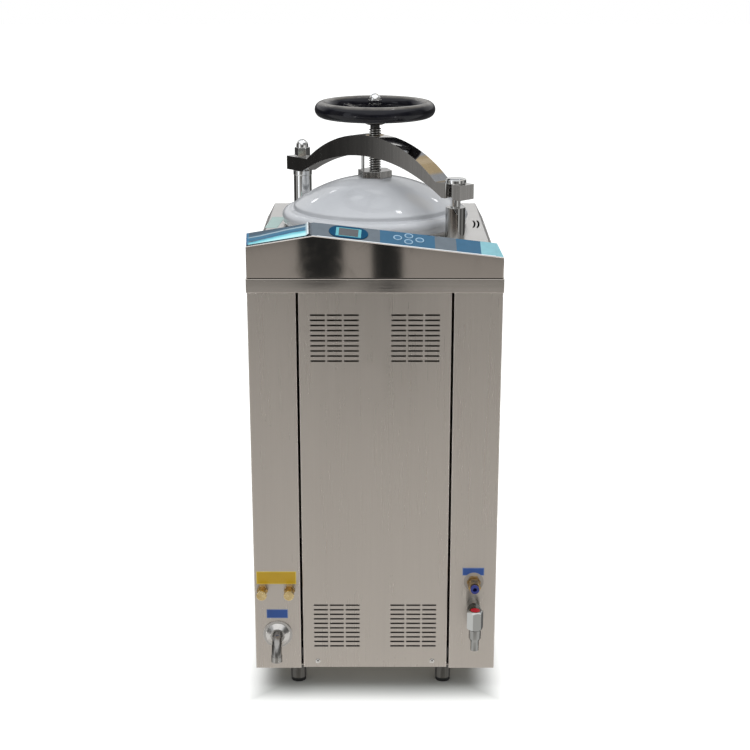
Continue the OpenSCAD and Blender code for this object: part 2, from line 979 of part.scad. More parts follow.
module hinge_stud() {
    low = yoke_top - yoke_t - stud_nut_h - stud_below;
    color([0.82, 0.82, 0.82]) translate([hinge_at[0], hinge_at[1], low])
        cylinder(d = stud_d, h = arm_high + head_gap + nut_hex_h * stud_grip_share - low);
}

module hinge_nut() {
    color([0.85, 0.85, 0.85]) translate([hinge_at[0], hinge_at[1], arm_high + head_gap])
        acorn_nut(nut_af, nut_hex_h, nut_dome_d, nut_dome_h, stud_d + 2 * fit);
}

module stud_nuts() {
    color([0.7, 0.7, 0.7])
        for (place = [lock_at, hinge_at])
            translate([place[0], place[1], yoke_top - yoke_t - stud_nut_h]) stud_nut();
}

module vessel_profile(r, h, knuckle) {
    square([r - knuckle, h]);
    translate([0, knuckle]) square([r, h - knuckle]);
    intersection() {
        translate([r - knuckle, knuckle]) circle(r = knuckle);
        square([r, knuckle]);
    }
}

module chamber_vessel() {
    tall = flange_low - vessel_low;
    color([0.75, 0.74, 0.72]) difference() {
        union() {
            at_chamber(vessel_low) rotate_extrude() difference() {
                vessel_profile(vessel_r, tall, vessel_knuckle);
                translate([0, vessel_wall])
                    vessel_profile(chamber_r, tall, vessel_knuckle - vessel_wall);
            }
            at_chamber(vessel_low - chamber_boss_h)
                cylinder(d = chamber_boss_d, h = chamber_boss_h + vessel_wall / 2);
        }
        at_chamber(vessel_low - chamber_boss_h - over)
            cylinder(d = inner_pipe_d - 2 * drain_wall, h = chamber_boss_h + vessel_wall + 2 * over);
        for (z = [probe_z1, probe_z2])
            at_chamber(floor_z + z) rotate([90, 0, 0]) cylinder(d = probe_d + clear, h = vessel_r + over);
        for (side = [-1, 1])
            translate([side * heater_leg_x, chamber_y - heater_ring_r, vessel_low - over])
                cylinder(d = heater_d + clear, h = vessel_wall + 2 * over);
        at_chamber(flange_low - manifold_drop) rotate([0, 0, manifold_angle]) rotate([0, 90, 0])
            cylinder(d = manifold_d + clear, h = vessel_r + over);
    }
}

module chamber_flange() {
    groove = gasket_w + clear;
    color([0.76, 0.75, 0.73]) at_chamber(flange_low) difference() {
        ring(flange_r * 2, chamber_d, flange_t);
        translate([0, 0, flange_t - gasket_t + gasket_proud])
            ring(2 * (chamber_r + flange_w / 2) + groove, 2 * (chamber_r + flange_w / 2) - groove,
                gasket_t);
    }
}

module lid_gasket() {
    color([0.85, 0.83, 0.78]) at_chamber(flange_top - gasket_t + gasket_proud)
        ring(2 * (chamber_r + flange_w / 2) + gasket_w, 2 * (chamber_r + flange_w / 2) - gasket_w,
            gasket_t);
}

module insulation_jacket() {
    low = vessel_low + jacket_low;
    tall = yoke_top - yoke_t - jacket_high - low;
    color([0.75, 0.72, 0.6]) difference() {
        at_chamber(low) ring(2 * (vessel_r + clear + jacket_t), 2 * (vessel_r + clear), tall);
        for (z = [probe_z1, probe_z2])
            at_chamber(floor_z + z) rotate([90, 0, 0])
                cylinder(d = probe_head_d + clear, h = vessel_r * 2);
        at_chamber(flange_low - manifold_drop) rotate([0, 0, manifold_angle]) rotate([0, 90, 0])
            cylinder(d = manifold_d + clear, h = vessel_r * 2);
    }
}

module heater() {
    color([0.55, 0.5, 0.45]) {
        at_chamber(floor_z + heater_lift) rotate_extrude()
            translate([heater_ring_r, 0]) circle(d = heater_d, $fn = bead_steps);
        for (side = [-1, 1])
            translate([side * heater_leg_x, chamber_y - heater_ring_r, vessel_low - heater_leg_drop])
                cylinder(d = heater_d, h = vessel_wall + heater_lift + heater_leg_drop);
    }
}

module level_probes() {
    color([0.7, 0.68, 0.6])
        for (z = [probe_z1, probe_z2])
            at_chamber(floor_z + z) rotate([90, 0, 0]) {
                translate([0, 0, vessel_r - probe_len]) cylinder(d = probe_d, h = probe_len + probe_head_l);
                translate([0, 0, vessel_r + clear]) cylinder(d = probe_head_d, h = probe_head_l, $fn = 6);
            }
}

// Rings of drain holes through a round floor of that radius
module sieve(radius, hole_d, h) {
    for (ring = [1:sieve_rings], i = [0:ring * sieve_holes - 1])
        rotate([0, 0, i * 360 / (ring * sieve_holes)])
            translate([radius * (sieve_start_share + ring * sieve_step_share), 0, -over])
                cylinder(d = hole_d, h = h + 2 * over, $fn = bead_steps);
}

module support_grid() {
    r = chamber_r - grid_gap;
    color([0.7, 0.7, 0.68]) {
        at_chamber(grid_top) difference() {
            cylinder(r = r, h = grid_t);
            sieve(r, grid_hole_d, grid_t);
        }
        for (i = [0:grid_legs - 1])
            at_chamber(floor_z) rotate([0, 0, i * 360 / grid_legs + grid_leg_turn])
                translate([grid_leg_r, 0, 0]) cylinder(d = grid_leg_d, h = grid_lift_h + grid_t / 2);
    }
}

module basket_grip() {
    for (side = [-1, 1])
        translate([side * grip_w / 2, 0, -grip_down])
            cylinder(d = grip_d, h = grip_h + grip_down - grip_d / 2);
    translate([-grip_w / 2, 0, grip_h - grip_d / 2]) rotate([0, 90, 0]) cylinder(d = grip_d, h = grip_w);
    for (side = [-1, 1])
        translate([side * grip_w / 2, 0, grip_h - grip_d / 2]) sphere(d = grip_d);
}

module basket() {
    grip_y = sqrt(pow(basket_r - basket_wall - grip_d / 2, 2) - pow(grip_w / 2, 2)) - grip_sunk;
    color([0.72, 0.72, 0.7]) {
        at_chamber(basket_z) difference() {
            union() {
                difference() {
                    cylinder(r = basket_r, h = basket_h);
                    translate([0, 0, basket_wall]) cylinder(r = basket_r - basket_wall, h = basket_h);
                }
                translate([0, 0, basket_h - basket_bead_d / 2]) rotate_extrude()
                    translate([basket_r - basket_wall / 2, 0]) circle(d = basket_bead_d, $fn = bead_steps);
            }
            sieve(basket_r, basket_hole_d, basket_wall);
        }
        for (side = [0, 180])
            at_chamber(basket_z + basket_h) rotate([0, 0, side]) translate([0, grip_y, 0]) basket_grip();
    }
}

module drain_pipe() {
    run_y = chamber_back - sheet - elbow_in;
    color([0.6, 0.6, 0.6]) {
        at_chamber(drain_z) cylinder(d = inner_pipe_d, h = vessel_low - chamber_boss_h - drain_z);
        at_chamber(drain_z) sphere(d = inner_pipe_d);
        at_chamber(drain_z) rotate([0, -90, 0]) cylinder(d = inner_pipe_d, h = drain_x);
        translate([-drain_x, chamber_y, drain_z]) sphere(d = inner_pipe_d);
        translate([-drain_x, chamber_y, drain_z]) rotate([90, 0, 0]) cylinder(d = inner_pipe_d, h = run_y);
        translate([-drain_x, chamber_y - run_y / 2, drain_z - drain_valve_w / 2])
            block(drain_valve_w, drain_valve_l, drain_valve_h);
    }
}

module drain_rosette() {
    hub_l = rosette_dish + rosette_t;
    color([0.62, 0.6, 0.57]) forwards(-drain_x, drain_z) rotate_extrude() difference() {
        union() {
            translate([drain_d / 2 + clear, 0]) square([rosette_d / 2 - drain_d / 2 - clear, rosette_t]);
            polygon([[drain_d / 2 + clear, 0], [rosette_d / 2 - rosette_t, 0],
                [rosette_hub_d / 2, hub_l], [drain_d / 2 + clear, hub_l]]);
        }
        polygon([[0, -over], [rosette_d / 2 - 2 * rosette_t, -over],
            [rosette_hub_d / 2 - rosette_t, hub_l - rosette_t], [0, hub_l - rosette_t]]);
    }
}

module elbow_run(d, extra) {
    bend_z = drain_reach - elbow_r;
    forwards(-drain_x, drain_z) translate([0, 0, -elbow_in - sheet - extra])
        cylinder(d = d, h = bend_z + elbow_in + sheet + extra);
    at(-drain_x, -bend_z, drain_z - elbow_r) rotate([0, -90, 180])
        rotate_extrude(angle = 90) translate([elbow_r, 0]) circle(d = d);
    at(-drain_x, -drain_reach, drain_z - drain_drop - extra)
        cylinder(d = d, h = drain_drop - elbow_r + extra);
}

module drain_elbow() {
    color([0.62, 0.6, 0.57]) difference() {
        union() {
            elbow_run(drain_d, 0);
            at(-drain_x, -drain_reach, drain_z - drain_drop)
                cylinder(d = drain_collar_d, h = drain_collar_h);
        }
        elbow_run(drain_d - 2 * drain_wall, over);
    }
}

module condensate_tank() {
    color([0.75, 0.74, 0.72]) at(-nipple_x, sheet + nipple_tail + tank_d / 2, nipple_z - tank_below)
        difference() {
            block(tank_w, tank_d, tank_h);
            translate([0, 0, sheet]) block(tank_w - 2 * sheet, tank_d - 2 * sheet, tank_h - 2 * sheet);
        }
}

module tank_nipples() {
    color([0.72, 0.55, 0.25])
        for (side = [-1, 1])
            forwards(-nipple_x + side * nipple_pitch / 2, nipple_z) {
                hex(nipple_af, nipple_hex_t);
                translate([0, 0, -sheet - nipple_tail])
                    cylinder(d = nipple_neck_d, h = nipple_len + sheet + nipple_tail);
            }
}

module nipple_caps() {
    color([0.8, 0.65, 0.32])
        for (side = [-1, 1])
            forwards(-nipple_x + side * nipple_pitch / 2, nipple_z) translate([0, 0, nipple_len])
                cylinder(d = nipple_cap_d, h = nipple_cap_t);
}

module inlet_fitting() {
    bore_low = inlet_len - collar_t - collar_sleeve_l - clear - 2 * over;
    color([0.72, 0.55, 0.25]) forwards(inlet_x, inlet_z) difference() {
        union() {
            translate([0, 0, washer_ring_t]) hex(inlet_nut_af, inlet_nut_t);
            cylinder(d = washer_ring_d, h = washer_ring_t);
            translate([0, 0, -sheet - inlet_nut_t - inlet_valve_w / 2])
                cylinder(d = inlet_body_d,
                    h = inlet_len - collar_t + sheet + inlet_nut_t + inlet_valve_w / 2);
            translate([0, 0, inlet_nut_t + washer_ring_t + collar_travel])
                hex(inlet_hex_af, inlet_len - collar_t - inlet_nut_t - washer_ring_t - collar_travel);
        }
        translate([0, 0, bore_low - inlet_nut_t]) cylinder(d = inlet_bore_d, h = inlet_len);
        translate([0, 0, bore_low]) cylinder(d = collar_sleeve_d + 2 * fit, h = inlet_len);
    }
}

module inlet_collar() {
    low = inlet_len - collar_t + collar_travel + collar_gap;
    color([0.15, 0.2, 0.65]) forwards(inlet_x, inlet_z) difference() {
        union() {
            translate([0, 0, low]) cylinder(d = collar_d, h = collar_t - collar_travel);
            translate([0, 0, low - collar_sleeve_l])
                cylinder(d = collar_sleeve_d, h = collar_sleeve_l + over);
        }
        translate([0, 0, low - collar_sleeve_l - over]) cylinder(d = inlet_bore_d, h = inlet_len);
    }
}

module inlet_valve() {
    color([0.2, 0.22, 0.25]) at(inlet_x, sheet + inlet_nut_t + inlet_valve_w / 2 + inlet_valve_l / 2,
        inlet_z - inlet_valve_w / 2)
        block(inlet_valve_w, inlet_valve_l, inlet_valve_h);
}

// A short boss on the wall, a leg down behind the knob and a branch forward under it
module tap_body() {
    low = tap_z - tap_drop;
    leg_b = tap_boss_l / 2;
    color([0.82, 0.82, 0.82]) difference() {
        union() {
            forwards(inlet_x, tap_z) {
                cylinder(d = tap_boss_d, h = tap_boss_l);
                translate([0, 0, -sheet - tap_boss_l])
                    cylinder(d = tap_branch_d, h = tap_boss_l + sheet + over);
            }
            at(inlet_x, -leg_b, low - tap_branch_d / 2)
                cylinder(d = tap_branch_d, h = tap_drop + tap_branch_d / 2);
            forwards(inlet_x, low) translate([0, 0, leg_b])
                cylinder(d = tap_arm_d, h = tap_reach - leg_b);
            at(inlet_x, -tap_reach, low - tap_body_high) cylinder(d = tap_body_d,
                h = 2 * tap_body_high);
            at(inlet_x, -tap_reach, low - tap_body_high - tap_cone_h)
                cylinder(d1 = tap_tail_d, d2 = tap_body_d, h = tap_cone_h);
            at(inlet_x, -tap_reach, low - tap_body_high - tap_tail_len)
                cylinder(d = tap_tail_d, h = tap_tail_len);
            at(inlet_x, -tap_reach, low) cylinder(d = tap_neck_d, h = tap_body_high + tap_neck_h);
        }
        at(inlet_x, -tap_reach, low - tap_body_high - tap_tail_len - over)
            cylinder(d = tap_tail_d - 2 * tap_tail_wall, h = tap_tail_len + tap_body_high + over);
    }
}

module at_tap_knob() {
    at(inlet_x, -tap_reach, tap_z - tap_drop + tap_body_high + tap_knob_gap) children();
}

module tap_knob() {
    color([0.85, 0.85, 0.86]) at_tap_knob() difference() {
        intersection() {
            rotate([0, 0, tap_knob_turn]) hex(tap_knob_w, tap_knob_h);
            translate([0, 0, tap_knob_h / 2]) sphere(r = tap_knob_w * tap_knob_round_share);
        }
        translate([0, 0, -over]) cylinder(d = tap_neck_d + 2 * fit, h = tap_neck_h + over);
        translate([0, 0, tap_knob_h - index_t]) cylinder(d = index_d + 2 * fit, h = index_t + over);
    }
}

module tap_index() {
    color([0.75, 0.1, 0.12]) at_tap_knob() translate([0, 0, tap_knob_h - index_t])
        cylinder(d = index_d, h = index_t);
}

module steam_manifold() {
    color([0.72, 0.71, 0.69]) at_chamber(flange_low - manifold_drop) rotate([0, 0, manifold_angle]) {
        translate([chamber_r + vessel_wall / 2, 0, 0]) rotate([0, 90, 0])
            cylinder(d = manifold_d, h = manifold_r - chamber_r - vessel_wall / 2);
        translate([manifold_r, 0, -manifold_d]) cylinder(d = manifold_pot_d, h = manifold_d * 2);
    }
}

module safety_valve() {
    color([0.75, 0.6, 0.3]) at_chamber(flange_low - manifold_drop) rotate([0, 0, manifold_angle])
        translate([manifold_r, 0, 0]) {
            translate([0, 0, manifold_d]) cylinder(d = valve_d, h = valve_above - manifold_d / 2);
            translate([0, 0, -manifold_d - valve_below]) cylinder(d = exhaust_d, h = valve_below);
        }
}

module in_arm() {
    at_chamber(0) rotate([0, 0, arm_angle]) children();
}

// The arm's side view: an arch between two blocks, x along the arm and y up
module arm_profile() {
    tip = post_r + arm_tip;
    difference() {
        union() {
            intersection() {
                translate([0, arch_top - arch_top_r]) circle(r = arch_top_r, $fn = fine_steps);
                translate([-tip, arm_low]) square([2 * tip, arch_top]);
            }
            for (side = [-1, 1])
                translate([side > 0 ? post_r - post_d : -tip, arm_low])
                    square([post_d + arm_tip, arm_end_h]);
        }
        translate([0, arch_under - arch_under_r]) circle(r = arch_under_r, $fn = fine_steps);
    }
}

module swing_arm() {
    color([0.6, 0.58, 0.55]) in_arm() difference() {
        translate([0, arm_w / 2, 0]) rotate([90, 0, 0]) linear_extrude(arm_w) arm_profile();
        translate([0, 0, arch_under - over * 3]) cylinder(d = bush_d, h = arch_top - arch_under + over * 5);
        translate([-post_r, 0, arm_low - over])
            cylinder(d = stud_d + 2 * hinge_bush_wall, h = arm_end_h + 2 * over);
        translate([-guide_pin_off, -guide_pin_side, arm_low])
            cylinder(d = guide_pin_d + 2 * clear, h = boss_top + guide_pin_up + guide_hole_up - arm_low);
        translate([post_r, 0, arm_low - over]) {
            cylinder(d = notch_w, h = arm_end_h + 2 * over);
            translate([-notch_w / 2, -arm_w, 0]) cube([notch_w, arm_w, arm_end_h + 2 * over]);
        }
    }
}

module arm_bushes() {
    color([0.7, 0.55, 0.3]) {
        at_chamber(arch_under - bush_drop) ring(bush_d, screw_d + 2 * fit, arch_top - arch_under);
        translate([hinge_at[0], hinge_at[1], arm_low])
            ring(stud_d + 2 * hinge_bush_wall, stud_d + 2 * fit, arm_end_h);
    }
}

module clamp_screw() {
    low = lid_top + screw_seat;
    color([0.75, 0.74, 0.72]) at_chamber(low + clear) {
        cylinder(d = screw_d, h = rim_z - hub_low - low - clear);
        cylinder(d = wheel_bore_d, h = wheel_top + wheel_nut_hex * stud_grip_share - low - clear);
    }
}

// The hub swells under the spokes and narrows to a neck under the nut
module wheel_hub() {
    translate([0, 0, -hub_low]) cylinder(d1 = hub_foot_d, d2 = hub_d, h = hub_foot_h);
    translate([0, 0, hub_foot_h - hub_low]) {
        cylinder(d = hub_d, h = hub_belly_h);
        translate([0, 0, hub_belly_h]) cylinder(d1 = hub_d, d2 = hub_neck_d, h = hub_slope_h);
        cylinder(d = hub_neck_d, h = hub_rise + hub_low - hub_foot_h);
    }
}

module handwheel() {
    rim_r = (wheel_d - wheel_rim_d) / 2;
    color([0.06, 0.06, 0.08]) at_chamber(rim_z) difference() {
        union() {
            rotate_extrude() translate([rim_r, 0]) circle(d = wheel_rim_d, $fn = rim_steps);
            wheel_hub();
            for (i = [0:wheel_spokes - 1])
                rotate([0, 0, i * 360 / wheel_spokes + spoke_turn]) translate([0, 0, -spoke_fall])
                    rotate([0, 90 - atan2(spoke_fall, rim_r), 0])
                        cylinder(d1 = spoke_d1, d2 = spoke_d2, h = rim_r);
        }
        translate([0, 0, -hub_low - over]) cylinder(d = wheel_bore_d + 2 * fit,
            h = hub_low + hub_rise + 2 * over);
    }
}

module wheel_nut() {
    color([0.85, 0.85, 0.86]) at_chamber(hub_top) {
        ring(washer_d, wheel_bore_d + 2 * fit, washer_h);
        translate([0, 0, washer_h])
            acorn_nut(wheel_nut_af, wheel_nut_hex, wheel_nut_dome, wheel_nut_dome_h, wheel_bore_d + 2 * fit);
    }
}

// Half of the lid's section, drawn inwards by a wall
module lid_section(wall, low) {
    shelf = rim_shelf_h - wall;
    rim_r = lid_d / 2 - rim_round;
    intersection() {
        translate([0, lid_h - dome_r]) circle(r = dome_r - wall, $fn = fine_steps);
        translate([0, shelf - over]) square([dome_edge_r - wall, lid_h]);
    }
    translate([0, low]) square([rim_r, shelf - low]);
    translate([0, low]) square([lid_d / 2 - skirt_in - wall, rim_h - low]);
    intersection() {
        translate([rim_r, rim_h]) circle(r = rim_round - wall);
        translate([0, rim_h / 2]) square([lid_d, lid_h]);
    }
}

module lid_cover() {
    color([0.82, 0.84, 0.87]) at_chamber(lid_low) difference() {
        intersection() {
            rotate_extrude($fn = lid_steps) intersection() {
                difference() {
                    lid_section(0, 0);
                    lid_section(lid_wall, -over);
                }
                square([lid_d, lid_h]);
            }
            cylinder(d = lid_d + over, h = lid_top - lid_low);
        }
        translate([0, 0, lid_h / 2]) cylinder(d = neck_d + 2 * clear, h = lid_h);
    }
}

module lid_plate() {
    head_top = lid_h - plate_drop;
    neck_top = lid_top - lid_low;
    color([0.74, 0.73, 0.71]) at_chamber(lid_low) {
        rotate_extrude($fn = lid_steps) intersection() {
            union() {
                difference() {
                    translate([0, head_top - dome_r]) circle(r = dome_r, $fn = fine_steps);
                    translate([0, head_top - dome_r]) circle(r = dome_r - plate_t, $fn = fine_steps);
                    translate([-dome_r, -2 * dome_r])
                        square([2 * dome_r, 2 * dome_r + plate_flange_t]);
                }
                translate([plate_head_r - plate_t, 0])
                    square([plate_t, plate_flange_t * 2]);
                translate([plate_head_r - plate_t, 0])
                    square([plate_flange_r - plate_head_r + plate_t, plate_flange_t]);
            }
            union() {
                square([plate_head_r, lid_h]);
                square([plate_flange_r, plate_flange_t]);
            }
        }
        translate([0, 0, head_top - plate_t / 2]) cylinder(d = neck_d, h = neck_top - head_top + plate_t / 2);
    }
}

module lid_boss() {
    color([0.66, 0.65, 0.63]) at_chamber(lid_top) difference() {
        rotate([0, 0, boss_turn]) cylinder(d = boss_d, h = boss_h, $fn = boss_sides);
        translate([0, 0, screw_seat]) cylinder(d = screw_d + 2 * fit, h = boss_h);
        rotate([0, 0, arm_angle]) translate([-guide_pin_off, -guide_pin_side, boss_h / 2])
            cylinder(d = guide_pin_d + 2 * fit, h = boss_h);
    }
}

module guide_pin() {
    color([0.8, 0.8, 0.8]) in_arm() translate([-guide_pin_off, -guide_pin_side, lid_top + boss_h / 2])
        cylinder(d = guide_pin_d, h = boss_h / 2 + guide_pin_up);
}

leg_tubes();
foot_pads();
base_frame();
base_pan();
top_frame_ring();
left_side_cover();
right_side_cover();
front_access_panel();
panel_screws();
back_cover();
rail_band();
top_cover();
console_shell();
keypad_overlay();
display_bezel();
display_window();
control_board();
cable_gland();
yoke_plate();
lock_post();
lock_stud();
hinge_post();
hinge_stud();
hinge_nut();
stud_nuts();
chamber_vessel();
chamber_flange();
lid_gasket();
insulation_jacket();
heater();
level_probes();
support_grid();
basket();
drain_pipe();
drain_rosette();
drain_elbow();
condensate_tank();
tank_nipples();
nipple_caps();
inlet_fitting();
inlet_collar();
inlet_valve();
tap_body();
tap_knob();
tap_index();
steam_manifold();
safety_valve();
swing_arm();
arm_bushes();
clamp_screw();
handwheel();
wheel_nut();
lid_cover();
lid_plate();
lid_boss();
guide_pin();
key_left();
key_right();
key_front();
key_back();
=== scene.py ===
# Dresses the top-loading autoclave: sheet steel cabinet, peaked console, white lid, swing arm and handwheel.
import json
import math
import bpy
import bmesh
from mathutils import Matrix, Vector

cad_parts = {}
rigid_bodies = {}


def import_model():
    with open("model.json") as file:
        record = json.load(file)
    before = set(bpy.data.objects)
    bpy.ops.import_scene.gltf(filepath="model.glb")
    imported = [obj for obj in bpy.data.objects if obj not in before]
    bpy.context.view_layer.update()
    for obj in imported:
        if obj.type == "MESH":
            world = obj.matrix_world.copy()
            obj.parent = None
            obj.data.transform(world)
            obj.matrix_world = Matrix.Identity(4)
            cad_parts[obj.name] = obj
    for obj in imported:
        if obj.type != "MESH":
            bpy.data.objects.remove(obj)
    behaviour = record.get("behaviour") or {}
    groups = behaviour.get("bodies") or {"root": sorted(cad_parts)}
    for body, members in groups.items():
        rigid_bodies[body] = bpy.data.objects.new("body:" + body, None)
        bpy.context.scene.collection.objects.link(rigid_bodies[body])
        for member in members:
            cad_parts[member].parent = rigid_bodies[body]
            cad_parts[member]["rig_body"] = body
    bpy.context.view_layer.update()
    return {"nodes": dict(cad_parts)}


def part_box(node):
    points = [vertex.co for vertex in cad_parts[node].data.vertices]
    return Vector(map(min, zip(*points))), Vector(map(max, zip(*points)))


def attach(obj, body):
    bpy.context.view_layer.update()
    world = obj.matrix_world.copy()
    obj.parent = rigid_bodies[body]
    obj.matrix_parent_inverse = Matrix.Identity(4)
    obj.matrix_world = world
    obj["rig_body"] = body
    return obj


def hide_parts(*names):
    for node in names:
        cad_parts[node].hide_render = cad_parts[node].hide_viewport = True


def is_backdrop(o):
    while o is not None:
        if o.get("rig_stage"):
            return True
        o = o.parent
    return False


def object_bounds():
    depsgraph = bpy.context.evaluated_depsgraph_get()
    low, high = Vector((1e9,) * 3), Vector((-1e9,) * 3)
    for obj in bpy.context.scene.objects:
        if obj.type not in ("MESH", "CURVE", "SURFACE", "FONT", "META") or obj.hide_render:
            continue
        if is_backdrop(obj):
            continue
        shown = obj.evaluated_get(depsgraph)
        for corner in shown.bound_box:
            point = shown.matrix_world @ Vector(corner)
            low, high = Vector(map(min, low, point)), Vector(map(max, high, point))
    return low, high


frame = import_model()
cadNodes = frame["nodes"]
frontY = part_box("left_side_cover")[0].y
lidY = (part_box("handwheel")[0].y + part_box("handwheel")[1].y) / 2
hingeAway = (0.162, -0.178)  # from the hinge post's axis to the lid's
armTurn = math.atan2(hingeAway[1], hingeAway[0])
print("frame loaded, front plane at", round(frontY, 5), "lid axis at", round(lidY, 5))


def putDown():
    if bpy.context.object and bpy.context.object.mode != "OBJECT":
        bpy.ops.object.mode_set(mode="OBJECT")
    bpy.ops.object.select_all(action="DESELECT")


def pickUp(piece):
    putDown()
    piece.select_set(True)
    bpy.context.view_layer.objects.active = piece


def settle(piece):
    # the piece's place goes into its mesh
    pickUp(piece)
    bpy.ops.object.transform_apply(location=True, rotation=True, scale=True)


def applyAll(piece):
    pickUp(piece)
    for modifier in list(piece.modifiers):
        bpy.ops.object.modifier_apply(modifier=modifier.name)


def selectWhere(piece, verts=None, faces=None, edges=None):
    # chooses what the next operator works on, by place or by normal
    mesh = bmesh.from_edit_mesh(piece.data)
    mesh.select_mode = {"VERT"} if verts else ({"FACE"} if faces else {"EDGE"})
    for part in (mesh.verts, mesh.edges, mesh.faces):
        for item in part:
            item.select = False
    if verts:
        for v in mesh.verts:
            v.select = bool(verts(v.co))
    if edges:
        for e in mesh.edges:
            e.select_set(bool(edges(e)))
    if faces:
        for f in mesh.faces:
            f.select_set(bool(faces(f)))
    mesh.select_flush_mode()
    bmesh.update_edit_mesh(piece.data)


def finishMesh(piece, smooth=35):
    pickUp(piece)
    bpy.ops.object.mode_set(mode="EDIT")
    bpy.ops.mesh.select_all(action="SELECT")
    bpy.ops.mesh.remove_doubles(threshold=1e-6)
    bpy.ops.mesh.normals_make_consistent(inside=False)
    bpy.ops.object.mode_set(mode="OBJECT")
    bpy.ops.object.shade_smooth_by_angle(angle=math.radians(smooth))


def drawn(name, points):
    # a line of (radius, height) points, extruded one by one, and left in edit mode
    putDown()
    bpy.ops.mesh.primitive_plane_add(size=0.01, location=(0, 0, 0))
    piece = bpy.context.object
    piece.name = name
    bpy.ops.object.mode_set(mode="EDIT")
    bpy.ops.mesh.select_all(action="SELECT")
    bpy.ops.mesh.merge(type="CENTER")
    bpy.ops.transform.translate(value=(points[0][0], 0, points[0][1]))
    for last, point in zip(points, points[1:]):
        bpy.ops.mesh.extrude_region_move(TRANSFORM_OT_translate={
            "value": (point[0] - last[0], 0, point[1] - last[1])})
    return piece


def turned(name, outline, place=(0, 0, 0), steps=96, turn=None, smooth=35):
    # a closed outline spun round Z
    piece = drawn(name, outline)
    bpy.ops.mesh.select_all(action="SELECT")
    bpy.ops.mesh.spin(steps=steps, angle=2 * math.pi, center=(0, 0, 0), axis=(0, 0, 1))
    bpy.ops.object.mode_set(mode="OBJECT")
    finishMesh(piece, smooth)
    if turn is not None:
        piece.matrix_world = turn
        settle(piece)
    piece.location = Vector(place)
    settle(piece)
    return piece


def arcPoints(cx, cz, radius, start, end, count):
    # points on an arc, angles in degrees
    return [(cx + radius * math.cos(math.radians(start + (end - start) * i / count)),
             cz + radius * math.sin(math.radians(start + (end - start) * i / count)))
            for i in range(count + 1)]


softening = {"merge": 2e-6, "flat": 0.6, "angle": 30, "smooth": 35}


def softened(nodeName, width, segments=2, only=None):
    # a copy of a CAD node with its sharp edges broken, which stands in for the node;
    # only is a test for the edges to break, and without it all sharp ones are
    v = softening
    source = cadNodes[nodeName]
    piece = source.copy()
    piece.data = source.data.copy()
    for key in list(piece.keys()):
        del piece[key]
    bpy.context.scene.collection.objects.link(piece)
    piece.parent = None
    piece.matrix_world = Matrix.Identity(4)
    piece.name = nodeName + "_dressed"
    pickUp(piece)
    bpy.ops.mesh.customdata_custom_splitnormals_clear()
    bpy.ops.object.mode_set(mode="EDIT")
    bpy.ops.mesh.select_all(action="SELECT")
    bpy.ops.mesh.remove_doubles(threshold=v["merge"])
    if not only:
        bpy.ops.mesh.dissolve_limited(angle_limit=math.radians(v["flat"]))
    bpy.ops.mesh.normals_make_consistent(inside=False)
    if only:
        selectWhere(piece, edges=only)
        bpy.ops.transform.edge_bevelweight(value=1)
    bpy.ops.object.mode_set(mode="OBJECT")
    edge = piece.modifiers.new("brokenEdge", "BEVEL")
    edge.limit_method = "WEIGHT" if only else "ANGLE"
    edge.angle_limit = math.radians(v["angle"])
    edge.width = width
    edge.segments = segments
    edge.use_clamp_overlap = not only
    edge.miter_outer = "MITER_ARC"
    applyAll(piece)
    bpy.ops.object.shade_smooth_by_angle(angle=math.radians(v["smooth"]))
    # flat faces keep their own normal; only the broken edges shade round
    piece.modifiers.new("flatFaces", "WEIGHTED_NORMAL").keep_sharp = True
    applyAll(piece)
    return standIn(piece, nodeName)


def standIn(piece, *nodeNames):
    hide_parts(*nodeNames)
    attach(piece, cadNodes[nodeNames[0]]["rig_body"])
    return piece


def slab(name, size, place=(0, 0, 0), edge=0.0, segments=2):
    # a cube at its size and place, with its edges bevelled
    putDown()
    bpy.ops.mesh.primitive_cube_add(size=1, location=place)
    piece = bpy.context.object
    piece.name = name
    piece.scale = size
    settle(piece)
    if edge:
        bevel = piece.modifiers.new("edge", "BEVEL")
        bevel.width = edge
        bevel.segments = segments
        applyAll(piece)
    return piece


materials = {}  # every material by its name


def dress(piece, *names):
    piece.data.materials.clear()
    for name in names:
        piece.data.materials.append(materials[name])
    return piece


def chosen(piece, test):
    # the faces that pass the test get the piece's second material
    for face in piece.data.polygons:
        face.material_index = int(test(face))


def addTo(body, piece):
    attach(piece, body)
    return piece


def newGroup(name, values, outputs):
    # a node group that takes a vector and some numbers and puts out masks
    group = bpy.data.node_groups.new(name, "ShaderNodeTree")
    group.interface.new_socket(name="Vector", in_out="INPUT", socket_type="NodeSocketVector")
    for title, value in values.items():
        socket = group.interface.new_socket(name=title, in_out="INPUT", socket_type="NodeSocketFloat")
        socket.default_value = value
    for title in outputs:
        group.interface.new_socket(name=title, in_out="OUTPUT", socket_type="NodeSocketFloat")
    start = group.nodes.new("NodeGroupInput")
    end = group.nodes.new("NodeGroupOutput")
    return group, start.outputs, end.inputs


def fill(target, values):
    for title, value in values.items():
        target.inputs[title].default_value = value


def wire(tree, source, target):
    tree.links.new(source, target)


def feed(tree, value, socket):
    # a socket gets a link, a colour or a number
    if hasattr(value, "is_output"):
        wire(tree, value, socket)
    else:
        socket.default_value = (*value, 1) if isinstance(value, tuple) else value


def mathNode(tree, operation, a, b=None, clamp=False):
    made = tree.nodes.new("ShaderNodeMath")
    made.operation = operation
    made.use_clamp = clamp
    feed(tree, a, made.inputs[0])
    if b is not None:
        feed(tree, b, made.inputs[1])
    return made.outputs[0]


def plus(tree, a, b, clamp=False):
    return mathNode(tree, "ADD", a, b, clamp)


def minus(tree, a, b, clamp=False):
    return mathNode(tree, "SUBTRACT", a, b, clamp)


